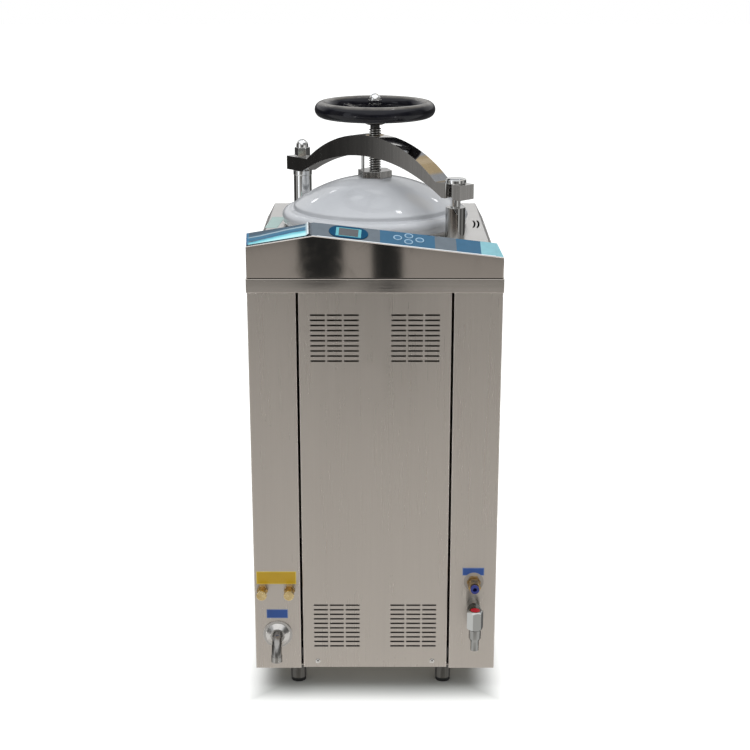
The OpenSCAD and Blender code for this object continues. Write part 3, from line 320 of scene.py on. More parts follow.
def times(tree, a, b, clamp=False):
    return mathNode(tree, "MULTIPLY", a, b, clamp)


def sizeOf(tree, a):
    return mathNode(tree, "ABSOLUTE", a)


def noiseAt(tree, vector, scale, detail=3.0, rough=0.55):
    made = tree.nodes.new("ShaderNodeTexNoise")
    fill(made, {"Scale": scale, "Detail": detail, "Roughness": rough})
    wire(tree, vector, made.inputs["Vector"])
    return made.outputs["Fac"]


def stretched(tree, vector, amounts, turn=(0, 0, 0)):
    made = tree.nodes.new("ShaderNodeMapping")
    fill(made, {"Scale": amounts, "Rotation": turn})
    wire(tree, vector, made.inputs["Vector"])
    return made.outputs["Vector"]


def splitUp(tree, vector):
    made = tree.nodes.new("ShaderNodeSeparateXYZ")
    wire(tree, vector, made.inputs["Vector"])
    return made.outputs


def ranged(tree, value, low, high, fromLow=0.0, fromHigh=1.0, kind="LINEAR"):
    made = tree.nodes.new("ShaderNodeMapRange")
    made.interpolation_type = kind
    fill(made, {"From Min": fromLow, "From Max": fromHigh, "To Min": low, "To Max": high})
    wire(tree, value, made.inputs["Value"])
    return made.outputs["Result"]


def eased(tree, value, fromLow, fromHigh, low=0.0, high=1.0):
    return ranged(tree, value, low, high, fromLow, fromHigh, "SMOOTHSTEP")


def rampOf(tree, value, stops, interpolation="LINEAR"):
    made = tree.nodes.new("ShaderNodeValToRGB")
    ramp = made.color_ramp
    ramp.interpolation = interpolation
    for index, (position, color) in enumerate(stops):
        stop = ramp.elements[index] if index < 2 else ramp.elements.new(position)
        stop.position = position
        stop.color = (*color, 1)
    wire(tree, value, made.inputs["Fac"])
    return made.outputs["Color"]


def blended(tree, factor, low, high, kind="MIX"):
    made = tree.nodes.new("ShaderNodeMix")
    made.data_type = "RGBA"
    made.blend_type = kind
    for value, socket in ((factor, made.inputs["Factor"]), (low, made.inputs[6]), (high, made.inputs[7])):
        feed(tree, value, socket)
    return made.outputs[2]


def summed(tree, first, second):
    both = tree.nodes.new("ShaderNodeAddShader")
    wire(tree, first, both.inputs[0])
    wire(tree, second, both.inputs[1])
    return both.outputs[0]


def makeGrain():
    # brushed streaks: long in one direction, fine in the others
    group, given, result = newGroup("brushedGrain", {}, ("Grain", "Band"))
    fine = noiseAt(group, given["Vector"], 1.0, 2.0, 0.7)
    wide = noiseAt(group, stretched(group, given["Vector"], (0.16, 0.16, 0.35)), 1.0, 3.0, 0.6)
    band = noiseAt(group, stretched(group, given["Vector"], (0.02, 0.02, 0.12)), 1.0, 2.0, 0.5)
    wideOff = times(group, minus(group, wide, 0.5), 0.5)
    wire(group, plus(group, fine, wideOff, clamp=True), result["Grain"])
    wire(group, band, result["Band"])
    return group


def makeSmudge():
    # handled areas: soft clouds with thin wiped traces across them
    group, given, result = newGroup("handledMarks", {"Scale": 7.0, "Amount": 0.5}, ("Mask",))
    cloud = group.nodes.new("ShaderNodeTexNoise")
    fill(cloud, {"Detail": 4.0, "Roughness": 0.6, "Distortion": 0.8})
    wire(group, given["Vector"], cloud.inputs["Vector"])
    wire(group, given["Scale"], cloud.inputs["Scale"])
    trace = noiseAt(group, stretched(group, given["Vector"], (90, 14, 38), (0.5, 0.3, 0.9)), 1.0, 3.0, 0.6)
    mixed = times(group, eased(group, cloud.outputs["Fac"], 0.46, 0.72), plus(group, trace, 0.35))
    wire(group, times(group, mixed, given["Amount"], clamp=True), result["Mask"])
    return group


def makeSpecks():
    # settled dust: sparse soft dots
    group, given, result = newGroup("settledDust", {"Scale": 160.0}, ("Mask",))
    cells = group.nodes.new("ShaderNodeTexVoronoi")
    wire(group, given["Vector"], cells.inputs["Vector"])
    wire(group, given["Scale"], cells.inputs["Scale"])
    near = mathNode(group, "LESS_THAN", cells.outputs["Distance"], 0.12)
    some = mathNode(group, "GREATER_THAN", noiseAt(group, given["Vector"], 31.0, 2.0), 0.6)
    wire(group, times(group, near, some), result["Mask"])
    return group


grainGroup = makeGrain()
smudgeGroup = makeSmudge()
dustGroup = makeSpecks()


def useGroup(tree, group, vector, values):
    made = tree.nodes.new("ShaderNodeGroup")
    made.node_tree = group
    wire(tree, vector, made.inputs["Vector"])
    fill(made, values)
    return made.outputs


def blank(name, values):
    # a new material by its name, with the uniform values set on its shader
    material = materials[name] = bpy.data.materials.new(name)
    material.use_nodes = True
    tree = material.node_tree
    shader = tree.nodes["Principled BSDF"]
    fill(shader, values)
    return tree, shader, tree.nodes.new("ShaderNodeTexCoord").outputs["Object"]


def tint(tree, shader, mask, dark, light, low=0.0, high=1.0):
    wire(tree, rampOf(tree, mask, ((low, dark), (high, light))), shader.inputs["Base Color"])


def paintOver(tree, shader, mask, color):
    # a second colour over what the base colour has so far
    below = shader.inputs["Base Color"].links[0].from_socket
    wire(tree, blended(tree, mask, below, color), shader.inputs["Base Color"])


def bumpOf(tree, shader, height, strength, distance):
    bump = tree.nodes.new("ShaderNodeBump")
    fill(bump, {"Strength": strength, "Distance": distance})
    wire(tree, height, bump.inputs["Height"])
    wire(tree, bump.outputs["Normal"], shader.inputs["Normal"])


def brushedMetal(name, dark, light, rough, stretch, turn=(0, 0, 0), bump=0.12, smudge=0.5):
    tree, shader, coords = blank(name, {"Metallic": 1.0})
    grain = useGroup(tree, grainGroup, stretched(tree, coords, stretch, turn), {})
    marks = useGroup(tree, smudgeGroup, coords, {"Scale": 5.5, "Amount": smudge})["Mask"]
    mixed = plus(tree, times(tree, grain["Grain"], 0.45), times(tree, grain["Band"], 0.55))
    worn = minus(tree, mixed, times(tree, marks, 0.12), clamp=True)
    tint(tree, shader, worn, dark, light, 0.25, 0.75)
    base = ranged(tree, grain["Grain"], rough[0], rough[1], 0.2, 0.8)
    wire(tree, plus(tree, base, times(tree, marks, 0.16), clamp=True), shader.inputs["Roughness"])
    bumpOf(tree, shader, grain["Grain"], bump, 0.0002)


def polishedMetal(name, color, rough, smudge=0.25, wave=0.0, waveScale=6.0):
    tree, shader, coords = blank(name, {"Metallic": 1.0})
    marks = useGroup(tree, smudgeGroup, coords, {"Scale": 14.0, "Amount": smudge})["Mask"]
    dust = useGroup(tree, dustGroup, coords, {"Scale": 210.0})["Mask"]
    fine = noiseAt(tree, stretched(tree, coords, (900, 900, 40)), 1.0, 2.0)
    tint(tree, shader, marks, color, tuple(c * 0.86 for c in color))
    total = plus(tree, times(tree, marks, 0.14), times(tree, fine, 0.03))
    total = plus(tree, total, times(tree, dust, 0.12))
    wire(tree, plus(tree, total, rough), shader.inputs["Roughness"])
    if wave:
        # rolled sheet is never quite flat: slow swells bend what it mirrors
        swell = noiseAt(tree, stretched(tree, coords, (1.0, 1.0, 0.45)), waveScale, 1.0, 0.4)
        bumpOf(tree, shader, swell, wave, 0.01)
    else:
        bumpOf(tree, shader, fine, 0.02, 0.0002)


for name in ("steelFront", "steelSlotted"):
    brushedMetal(name, (0.562, 0.517, 0.473), (0.606, 0.559, 0.510), (0.26, 0.31), (420, 420, 5), bump=0.05,
                 smudge=0.4)
brushedMetal("steelAcross", (0.46, 0.425, 0.39), (0.57, 0.53, 0.49), (0.11, 0.18), (12, 12, 520),
             bump=0.06)
brushedMetal("steelTop", (0.78, 0.765, 0.74), (0.88, 0.865, 0.84), (0.3, 0.38), (5, 420, 420), bump=0.08)
polishedMetal("steelMirror", (0.52, 0.468, 0.425), 0.05, 0.30, 0.006, 7.0)
brushedMetal("steelTube", (0.46, 0.45, 0.43), (0.62, 0.60, 0.58), (0.16, 0.28), (260, 260, 260), bump=0.15)
brushedMetal("armSteel", (0.50, 0.488, 0.476), (0.72, 0.705, 0.685), (0.035, 0.07), (330, 330, 7),
             turn=(0, 0, -armTurn), bump=0.02, smudge=0.1)
polishedMetal("chromePlate", (0.78, 0.78, 0.77), 0.035, 0.25)
# painted shade: the next three are darker copies of chromePlate, for the lock post, the tap and its knob
polishedMetal("postChrome", (0.39, 0.39, 0.38), 0.035, 0.25)
polishedMetal("tapChrome", (0.28, 0.28, 0.27), 0.06, 0.25)
polishedMetal("knobChrome", (0.44, 0.445, 0.435), 0.06, 0.25)
# painted shade: a darker copy of the tube steel, for the drain elbow
brushedMetal("drainSteel", (0.22, 0.213, 0.203), (0.34, 0.33, 0.315), (0.16, 0.28), (260, 260, 260),
             bump=0.15)
# strong dark and pale streaks: partly brushed grain, partly painted reflection
brushedMetal("bossSteel", (0.14, 0.135, 0.13), (0.80, 0.79, 0.77), (0.10, 0.2), (190, 190, 6), bump=0.15)
brushedMetal("screwSteel", (0.46, 0.455, 0.44), (0.72, 0.71, 0.69), (0.10, 0.2), (40, 40, 900), bump=0.1)
# painted shade: leg tubes in a near-black copy of the tube steel, for their shade under the cabinet
brushedMetal("legSteel", (0.06, 0.058, 0.053), (0.11, 0.105, 0.097), (0.25, 0.4), (260, 260, 9), bump=0.15)
brushedMetal("vesselSteel", (0.52, 0.515, 0.50), (0.66, 0.655, 0.64), (0.24, 0.36), (8, 8, 500))
# pickled steel inside the chamber scatters part of its light
materials["vesselSteel"].node_tree.nodes["Principled BSDF"].inputs["Metallic"].default_value = 0.45
brushedMetal("frameSteel", (0.13, 0.13, 0.13), (0.2, 0.2, 0.2), (0.45, 0.6), (60, 60, 60))


def castBrass(name, dark, light, rough):
    tree, shader, coords = blank(name, {"Metallic": 1.0})
    cloud = noiseAt(tree, coords, 130.0, 4.0, 0.6)
    tint(tree, shader, cloud, dark, light, 0.3, 0.7)
    wire(tree, ranged(tree, cloud, rough, rough + 0.16), shader.inputs["Roughness"])
    bumpOf(tree, shader, noiseAt(tree, coords, 900.0), 0.12, 0.0003)


castBrass("brass", (0.38, 0.24, 0.09), (0.66, 0.47, 0.20), 0.22)
castBrass("brassBright", (0.60, 0.44, 0.20), (0.82, 0.66, 0.36), 0.18)


def coated(name, color, rough, coat=0.0, peel=0.0, peelScale=180.0, shade=0.9, grit=0.0, dust=None,
           gloss=0.5):
    # paints, plastics and rubbers
    tree, shader, coords = blank(name, {"Coat Weight": coat, "Coat Roughness": 0.04,
                                        "Specular IOR Level": 0.15 if rough > 0.5 else gloss})
    smudge = useGroup(tree, smudgeGroup, coords, {"Scale": 11.0, "Amount": 0.3})["Mask"]
    mottle = noiseAt(tree, coords, 22.0, 3.0)
    tint(tree, shader, mottle, tuple(c * shade for c in color), color, 0.3, 0.7)
    wire(tree, plus(tree, ranged(tree, mottle, rough, rough + 0.06), times(tree, smudge, 0.15)),
         shader.inputs["Roughness"])
    if dust:
        # dust and painted sheen: a paler colour where the surface looks up, for settled dust and for the
        # light that the upper side catches
        up = splitUp(tree, tree.nodes.new("ShaderNodeNewGeometry").outputs["Normal"])["Z"]
        thick = ranged(tree, mottle, 0.45, 1.0, 0.35, 0.65)
        paintOver(tree, shader, times(tree, eased(tree, up, 0.62, 0.98), thick, clamp=True), dust)
    height = noiseAt(tree, coords, peelScale, 2.0)
    if grit:
        height = plus(tree, height, times(tree, noiseAt(tree, coords, 2400.0), grit))
    bumpOf(tree, shader, height, peel, 0.0004)


coated("lidEnamel", (0.455, 0.470, 0.492), 0.42, coat=0.7, peel=0.02, peelScale=90.0, shade=0.96)
# its upward faces are paler: partly dust, partly painted sheen
coated("wheelBlack", (0.004, 0.004, 0.008), 0.3, coat=0.35, peel=0.03, peelScale=120.0, shade=0.6,
       dust=(0.17, 0.16, 0.145), gloss=0.12)
coated("rubberBlack", (0.02, 0.02, 0.02), 0.65, peel=0.3, peelScale=700.0, grit=0.5)
coated("glandBlack", (0.025, 0.025, 0.027), 0.4, peel=0.2, peelScale=600.0)
coated("sealRubber", (0.62, 0.60, 0.55), 0.5, peel=0.2, peelScale=500.0)
coated("woolCloth", (0.55, 0.52, 0.42), 0.9, peel=0.8, peelScale=240.0, grit=0.4)
coated("boardGreen", (0.03, 0.16, 0.07), 0.4, peel=0.3, peelScale=300.0)
coated("collarBlue", (0.02, 0.035, 0.24), 0.22, coat=0.3, peel=0.05)
coated("washerClear", (0.40, 0.37, 0.34), 0.2, coat=0.4, peel=0.05)
coated("filmPatch", (0.27, 0.42, 0.39), 0.3, coat=0.3, peel=0.2)
coated("indexRed", (0.45, 0.012, 0.03), 0.2, coat=0.5, peel=0.04)
coated("bezelBlue", (0.001, 0.05, 0.115), 0.52, peel=0.02)
coated("lcdGrey", (0.085, 0.09, 0.095), 0.3, coat=0.25, peel=0.01)
coated("lcdCyan", (0.11, 0.40, 0.46), 0.2, coat=0.4)
# painted shade for the screw thread's root
coated("oiledRoot", (0.018, 0.017, 0.015), 0.35)
# painted shade: near-black for the slots' cut walls
coated("burntEdge", (0.003, 0.003, 0.003), 0.9)
# painted highlight: pale colour for the keypad film's cut edge, the bright line along the console's front
coated("filmEdge", (0.80, 0.84, 0.87), 0.3)
coated("labelYellow", (0.62, 0.38, 0.012), 0.3, coat=0.3, peel=0.06, peelScale=60)
coated("labelYellowEdge", (0.85, 0.66, 0.12), 0.3, coat=0.3)
coated("labelBlue", (0.02, 0.09, 0.36), 0.3, coat=0.3, peel=0.06, peelScale=60)
coated("labelBlueEdge", (0.20, 0.28, 0.52), 0.3, coat=0.3)
coated("keyRing", (0.27, 0.42, 0.55), 0.25, coat=0.3)
coated("keyBlue", (0.035, 0.125, 0.225), 0.25, coat=0.3)


def overlayFilm():
    # printed keypad film: plain colour fields along its length
    tree, shader, coords = blank("overlayFilm", {"Coat Weight": 0.15})
    place = splitUp(tree, coords)
    grey, blue, cyan = (0.128, 0.155, 0.180), (0.032, 0.12, 0.215), (0.23, 0.48, 0.54)
    fields = rampOf(tree, ranged(tree, place["X"], 0.0, 1.0, -0.122, 0.240), (
        (0.0, grey), (0.363, blue), (0.649, grey), (0.762, blue), (0.892, cyan)), "CONSTANT")
    mottle = noiseAt(tree, coords, 60.0, 3.0)
    wire(tree, blended(tree, 0.25, fields, mottle, "MULTIPLY"), shader.inputs["Base Color"])
    # painted highlight: its front margin is painted pale, for the bright line along the broken front edge
    margin = eased(tree, place["Y"], frontY + 0.0020, frontY + 0.0026, 1.0, 0.0)
    paintOver(tree, shader, margin, (0.80, 0.84, 0.87))
    marks = useGroup(tree, smudgeGroup, coords, {"Scale": 30.0, "Amount": 0.6})["Mask"]
    wire(tree, ranged(tree, marks, 0.14, 0.34), shader.inputs["Roughness"])
    bumpOf(tree, shader, mottle, 0.05, 0.0005)


def creasedFilm():
    # clear blue film that was left on: colours follow its own length (U) and width (V); its ramps paint
    # shade in the folds and highlights on their crests
    tree, shader, coords = blank("filmCreased", {"Coat Weight": 0.3})
    spread = tree.nodes.new("ShaderNodeUVMap")
    spread.uv_map = "spread"
    place = splitUp(tree, spread.outputs["UV"])
    drift = times(tree, minus(tree, noiseAt(tree, coords, 24.0, 2.0), 0.5), 0.12)
    across = plus(tree, minus(tree, place["Y"], times(tree, place["X"], 0.26)), drift)
    # across the width: the dark stops at the folds (0.20, 0.58) are painted shade, the pale stop at 0.545 a
    # painted highlight on the rear fold
    body = rampOf(tree, across, (
        (0.0, (0.42, 0.72, 0.75)), (0.09, (0.22, 0.58, 0.63)), (0.17, (0.08, 0.36, 0.46)),
        (0.20, (0.006, 0.03, 0.07)), (0.26, (0.015, 0.09, 0.17)), (0.40, (0.035, 0.14, 0.24)),
        (0.50, (0.04, 0.13, 0.21)), (0.545, (0.34, 0.46, 0.52)), (0.58, (0.01, 0.03, 0.05)),
        (0.64, (0.04, 0.11, 0.17)), (0.75, (0.05, 0.08, 0.11))))
    # along the length: a painted highlight at the peak fold (0.95), with painted shade just past it (0.965)
    tips = rampOf(tree, place["X"], (
        (0.0, (0.01, 0.06, 0.15)), (0.035, (0.05, 0.20, 0.34)), (0.93, (0.4, 0.52, 0.56)),
        (0.95, (0.85, 0.9, 0.92)), (0.965, (0.02, 0.025, 0.03)), (1.0, (0.10, 0.12, 0.14))))
    ends = mathNode(tree, "MAXIMUM", ranged(tree, place["X"], 0.0, 1.0, 0.90, 0.94),
                    ranged(tree, place["X"], 1.0, 0.0, 0.02, 0.05), clamp=True)
    wire(tree, blended(tree, ends, body, tips), shader.inputs["Base Color"])
    marks = useGroup(tree, smudgeGroup, coords, {"Scale": 26.0, "Amount": 0.5})["Mask"]
    wire(tree, ranged(tree, marks, 0.10, 0.3), shader.inputs["Roughness"])
    wrinkles = noiseAt(tree, stretched(tree, coords, (14, 90, 90), (0.2, 0.1, 0.5)), 1.0, 2.0)
    bumpOf(tree, shader, wrinkles, 0.12, 0.002)


overlayFilm()
creasedFilm()
print("materials made:", len(bpy.data.materials))

# the two sloping faces of the console: fall and run of each, then X and Z of its left front corner
console = {"depth": 47, "rise": 17, "right": (0.042, 0.3625, -0.1175, 0.955),
           "left": (0.021, 0.1275, -0.245, 0.934)}
faceTilt = math.atan2(console["rise"], console["depth"])


def faceFrame(fall, run, x, z, rightwards):
    slope = math.atan2(fall * math.cos(faceTilt), run) * rightwards
    turn = -math.asin(math.sin(math.atan2(fall, run)) * math.sin(faceTilt)) * rightwards
    return (Matrix.Translation((x, frontY, z)) @ Matrix.Rotation(faceTilt, 4, "X")
            @ Matrix.Rotation(slope, 4, "Y") @ Matrix.Rotation(turn, 4, "Z"))


keyFace = faceFrame(*console["right"], 1)
filmFace = faceFrame(*console["left"], -1)

louvres = {"share": 0.265, "columns": 3, "rows": 10, "width": 0.0276, "height": 0.0026, "pitchX": 0.0324,
           "pitchZ": 0.0102, "levels": (0.755, 0.1445), "slotShadeWidth": 0.0004}


def sootRound(name):
    # painted shade: a dark line round every slot of the panel, so the slots read as dark as the shade inside
    # them
    v = louvres
    tree = materials[name].node_tree
    place = splitUp(tree, tree.nodes["Texture Coordinate"].outputs["Object"])
    low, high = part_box("front_access_panel")
    aside = minus(tree, sizeOf(tree, place["X"]), (high.x - low.x) * v["share"])
    column = times(tree, aside, 1 / v["pitchX"])
    dx = sizeOf(tree, minus(tree, column, mathNode(tree, "ROUND", column)))
    inX = mathNode(tree, "LESS_THAN", sizeOf(tree, column), v["columns"] / 2)
    nearX = mathNode(tree, "LESS_THAN", dx, (v["width"] / 2 + v["slotShadeWidth"]) / v["pitchX"])
    masks = []
    for level in v["levels"]:
        row = times(tree, minus(tree, place["Z"], level), 1 / v["pitchZ"])
        dz = sizeOf(tree, minus(tree, mathNode(tree, "FRACT", row), 0.5))
        nearZ = mathNode(tree, "LESS_THAN", dz, (v["height"] / 2 + v["slotShadeWidth"]) / v["pitchZ"])
        masks.append(times(tree, nearZ, mathNode(tree, "LESS_THAN", sizeOf(tree, row), v["rows"] / 2)))
    mask = times(tree, mathNode(tree, "MAXIMUM", *masks), times(tree, inX, nearX))
    paintOver(tree, tree.nodes["Principled BSDF"], mask, (0.02, 0.019, 0.018))


sootRound("steelSlotted")
cabinetEdges = {"console_shell": (0.0014, 4, "steelMirror"), "rail_band": (0.0010, 3, "steelAcross"),
                "top_cover": (0.0012, 3, "steelTop"), "left_side_cover": (0.0014, 3, "steelFront"),
                "right_side_cover": (0.0014, 3, "steelFront")}
edgeRule = {"angle": 0.5, "length": 0.02, "near": 0.0005}  # radians, metres


def sharpEdge(e):
    return e.calc_face_angle(0) > edgeRule["angle"]


def outlineOf(nodeName):
    # the long sharp edges round the cover's top, or round a piece's front face
    low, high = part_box(nodeName)
    near = edgeRule["near"]
    if nodeName == "top_cover":
        return lambda e: (sharpEdge(e) and e.calc_length() > edgeRule["length"]
                          and all(v.co.z > high.z - near for v in e.verts))
    return lambda e: (sharpEdge(e) and e.calc_length() > edgeRule["length"]
                      and all(v.co.y < low.y + near for v in e.verts))


for nodeName, (width, segments, material) in cabinetEdges.items():
    piece = dress(softened(nodeName, width, segments, outlineOf(nodeName)), material)
    if nodeName == "console_shell":
        # printed film covers both sloping faces up to their broken edges
        dress(piece, material, "overlayFilm")
        chosen(piece, lambda f: f.normal.z > 0.9 and f.area > 1e-4 and f.center.z > 0.9)
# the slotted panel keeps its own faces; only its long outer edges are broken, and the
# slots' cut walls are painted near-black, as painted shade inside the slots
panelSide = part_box("front_access_panel")[1].x - 0.0004
panel = softened("front_access_panel", 0.0018, 4, lambda e: all(
    abs(v.co.x) > panelSide and v.co.y < frontY + 0.0004 for v in e.verts))
dress(panel, "steelSlotted", "burntEdge")
chosen(panel, lambda f: abs(f.normal.y) < 0.3 and abs(f.center.x) < panelSide - 0.002)
plainNodes = {"steelFront": ("back_cover", "base_pan"), "legSteel": ("leg_tubes",),
              "rubberBlack": ("foot_pads",),
              "frameSteel": ("base_frame", "top_frame_ring", "yoke_plate", "heater"),
              "boardGreen": ("control_board",), "glandBlack": ("cable_gland", "inlet_valve"),
              "vesselSteel": ("chamber_vessel", "chamber_flange", "level_probes", "support_grid", "basket",
                              "drain_pipe", "condensate_tank", "steam_manifold", "lid_plate"),
              "sealRubber": ("lid_gasket",), "woolCloth": ("insulation_jacket",),
              "brass": ("safety_valve", "arm_bushes"), "chromePlate": ("stud_nuts",)}
for material, nodeNames in plainNodes.items():
    for nodeName in nodeNames:
        dress(cadNodes[nodeName], material)
# the film's cut edges take the pale painted highlight
overlay = dress(softened("keypad_overlay", 0.0001, 1), "overlayFilm", "filmEdge")
chosen(overlay, lambda f: f.normal.y < -0.6 or f.normal.y > 0.9)
print("cabinet dressed")

lid = {"base": 0.912, "domeRadius": 0.285, "domeTop": 0.095, "domeEdge": 0.171, "rimRadius": 0.1975,
       "rimRound": 0.014, "rimTop": 0.026, "wall": 0.003, "skirt": 0.195, "hole": 0.0183, "flat": 0.093,
       "stepHead": ((0.0012, 0.0016), (0.0018, 0.0040)), "stepFoot": ((0.0020, 0.0050), (0.0030, 0.0026)),
       "chamfer": 0.0008}


def makeLid():
    v = lid
    low = v["domeTop"] - v["domeRadius"]
    edgeAngle = math.degrees(math.acos(v["domeEdge"] / v["domeRadius"]))
    flatReach = math.sqrt(v["domeRadius"] ** 2 - (v["flat"] - low) ** 2)
    topAngle = math.degrees(math.acos(flatReach / v["domeRadius"]))
    dome = arcPoints(0, low, v["domeRadius"], topAngle, edgeAngle, 40)
    edgeZ = dome[-1][1]
    centre = v["rimRadius"] - v["rimRound"]
    outline = [(v["hole"], v["flat"])] + dome
    # the dome rolls into a narrow step, then into the round rim
    outline += [(v["domeEdge"] + out, edgeZ - down) for out, down in v["stepHead"]]
    outline += [(v["domeEdge"] + out, v["rimTop"] + up) for out, up in v["stepFoot"]]
    outline += arcPoints(centre, v["rimRound"], v["rimRound"], 105, 0, 20)
    # under the rim the wall turns in to an upright skirt
    outline += [(v["rimRadius"] - 0.0006, v["rimRound"] - 0.003),
                (v["skirt"] + 0.0004, v["rimRound"] - 0.0055), (v["skirt"], 0.006),
                (v["skirt"], v["chamfer"]), (v["skirt"] - v["chamfer"], 0.0),
                (v["skirt"] - v["wall"], 0.0), (v["skirt"] - v["wall"], v["rimRound"])]
    outline += arcPoints(centre, v["rimRound"], v["rimRound"] - v["wall"], 20, 90, 8)
    outline += [(v["domeEdge"] - v["wall"], v["rimTop"] - v["wall"] + 0.001),
                (v["domeEdge"] - v["wall"], edgeZ - 0.003)]
    outline += arcPoints(0, low, v["domeRadius"] - v["wall"], edgeAngle + 0.6, topAngle, 20)
    outline += [(v["hole"], v["flat"] - v["wall"]), (v["hole"], v["flat"])]
    piece = turned("lid_dome", outline, (0, lidY, v["base"]), steps=160, smooth=50)
    dress(piece, "lidEnamel")
    return standIn(piece, "lid_cover")


makeLid()
dress(softened("lid_boss", 0.0012, 3), "bossSteel")
dress(softened("guide_pin", 0.0005, 2), "chromePlate")
print("lid made")

screw = {"low": 1.0083, "top": 1.115, "radius": 0.0130, "core": 0.0100, "neck": 0.0099, "pitch": 0.005,
         "endTop": 1.1635}


def makeScrew():
    v = screw
    pitch = v["pitch"]
    core = turned("screw_core", [(0, v["low"]), (v["core"] - 0.001, v["low"]), (v["core"], v["low"] + 0.001),
                                 (v["core"], v["top"]), (v["neck"], v["top"]), (v["neck"], v["endTop"]),
                                 (0, v["endTop"])], (0, lidY, 0), 48)
    # one turn of thread, drawn in radii and shares of the pitch, is wound up the screw
    root, side, crest = v["core"] - 0.0004, v["core"] + 0.0002, v["radius"]
    profile = ((root, 0), (side, 0.08), (crest, 0.30), (crest, 0.50), (side, 0.72), (root, 0.80))
    thread = drawn("screw_thread", [(r, v["low"] + 0.001 + pitch * share) for r, share in profile])
    bpy.ops.object.mode_set(mode="OBJECT")
    wind = thread.modifiers.new("wind", "SCREW")
    wind.angle = 2 * math.pi
    wind.screw_offset = pitch
    wind.iterations = int((v["top"] - v["low"] - 0.003) / pitch) - 1
    wind.steps = wind.render_steps = 40
    wind.use_smooth_shade = False
    applyAll(thread)
    thread.location = (0, lidY, 0)
    settle(thread)
    finishMesh(thread, 30)
    pickUp(core)
    thread.select_set(True)
    bpy.ops.object.join()
    core.name = "threaded_screw"
    # painted shade: the root of the thread is darkened, for the shade down in its groove
    dress(core, "screwSteel", "oiledRoot")
    chosen(core, lambda f: math.hypot(f.center.x, f.center.y - lidY) < v["core"] + 0.0008
           and f.center.z < v["top"])
    return standIn(core, "clamp_screw")


wheel = {"height": 1.147, "radius": 0.11025, "tube": 0.01625, "spokes": 3, "turn": 11, "spokeRoot": 0.0092,
         "spokeTip": 0.0078, "fall": 0.016, "groove": 0.0042, "grooveDeep": 0.0042, "inner": 0.004,
         "voxel": 0.0014,  # of the remesh, so it sets how fine the moulding is
         "hub": ((1.1152, 0.0178), (1.121, 0.0276), (1.1228, 0.0280), (1.1325, 0.0280), (1.1345, 0.0262),
                 (1.1448, 0.0134), (1.1562, 0.0130), (1.157, 0.0122))}


def makeWheel():
    v = wheel
    putDown()
    bpy.ops.mesh.primitive_torus_add(major_segments=144, minor_segments=40, major_radius=v["radius"],
                                     minor_radius=v["tube"], location=(0, 0, 0))
    rim = bpy.context.object
    rim.name = "handwheel_rim"
    parts = [rim]
    for index in range(v["spokes"]):
        around = math.radians(v["turn"] + 360 / v["spokes"] * index)
        reach = v["radius"] - v["inner"]
        putDown()
        bpy.ops.mesh.primitive_cylinder_add(vertices=40, radius=v["spokeRoot"], depth=reach,
                                            location=(0, 0, 0))
        spoke = bpy.context.object
        bpy.ops.object.mode_set(mode="EDIT")
        selectWhere(spoke, verts=lambda c: c.z > 0)
        bpy.ops.transform.resize(value=(v["spokeTip"] / v["spokeRoot"],) * 2 + (1,))
        # its upper side is dished into a groove
        selectWhere(spoke, verts=lambda c: c.x < 0 and abs(c.y) < v["groove"])
        bpy.ops.transform.translate(value=(v["grooveDeep"], 0, 0))
        bpy.ops.object.mode_set(mode="OBJECT")
        lean = math.atan2(v["fall"], v["radius"])
        spoke.matrix_world = (Matrix.Rotation(around, 4, "Z")
                              @ Matrix.Translation((v["inner"] + reach / 2, 0, -v["fall"] / 2))
                              @ Matrix.Rotation(math.pi / 2 - lean, 4, "Y"))
        settle(spoke)
        parts.append(spoke)
    outline = [(0, v["hub"][0][0] - v["height"])] + [(r, z - v["height"]) for z, r in v["hub"]]
    hub = turned("hub", outline + [(0, v["hub"][-1][0] - v["height"])], steps=64)
    parts.append(hub)
    pickUp(rim)
    for part in parts:
        part.select_set(True)
    bpy.ops.object.join()
    # one moulding: the members are fused and the corners between them flow together
    rim.data.remesh_voxel_size = v["voxel"]
    pickUp(rim)
    bpy.ops.object.voxel_remesh()
    ease = rim.modifiers.new("ease", "SMOOTH")
    ease.factor = 0.5
    ease.iterations = 6
    applyAll(rim)
    bpy.ops.object.shade_smooth()
    rim.location = (0, lidY, v["height"])
    settle(rim)
    dress(rim, "wheelBlack")
    return standIn(rim, "handwheel")


makeScrew()
makeWheel()
dress(softened("wheel_nut", 0.0006, 2), "chromePlate")
print("screw and handwheel made")

dress(softened("swing_arm", 0.0014, 3), "armSteel")
for nodeName in ("lock_post", "lock_stud", "hinge_post", "hinge_stud"):
    piece = softened(nodeName, 0.0009, 3, sharpEdge if nodeName == "hinge_post" else None)
    dress(piece, "postChrome" if nodeName == "lock_post" else "chromePlate")
dress(softened("hinge_nut", 0.0006, 2), "chromePlate")
print("arm and posts made")

keypad = {"keys": {"key_left": (-0.0212, 0), "key_right": (0.0212, 0), "key_front": (0, -0.0106),
                   "key_back": (0, 0.0106)},
          "centre": (0.1817, 0.0275), "film": 0.0008, "radius": 0.0085, "low": -0.0018, "top": 0.0010,
          "dish": 0.0006, "ring": 0.0019}


def makeKey(nodeName, offset):
    v = keypad
    place = keyFace @ Matrix.Translation((v["centre"][0] + offset[0], v["centre"][1] + offset[1], v["film"]))
    r, low, top, dish = v["radius"], v["low"], v["top"], v["dish"]
    # a raised ring round a shallow dish
    piece = turned(nodeName + "_dome", [
        (0, low), (r, low), (r, dish), (r - 0.0005, top), (r - 0.0016, top), (r - 0.0022, dish),
        (r - 0.005, dish), (0, dish + 0.0002)], steps=48, turn=place, smooth=50)
    dress(piece, "keyBlue", "keyRing")
    chosen(piece, lambda f: (f.center - place.translation).length > r - v["ring"])
    return standIn(piece, nodeName)


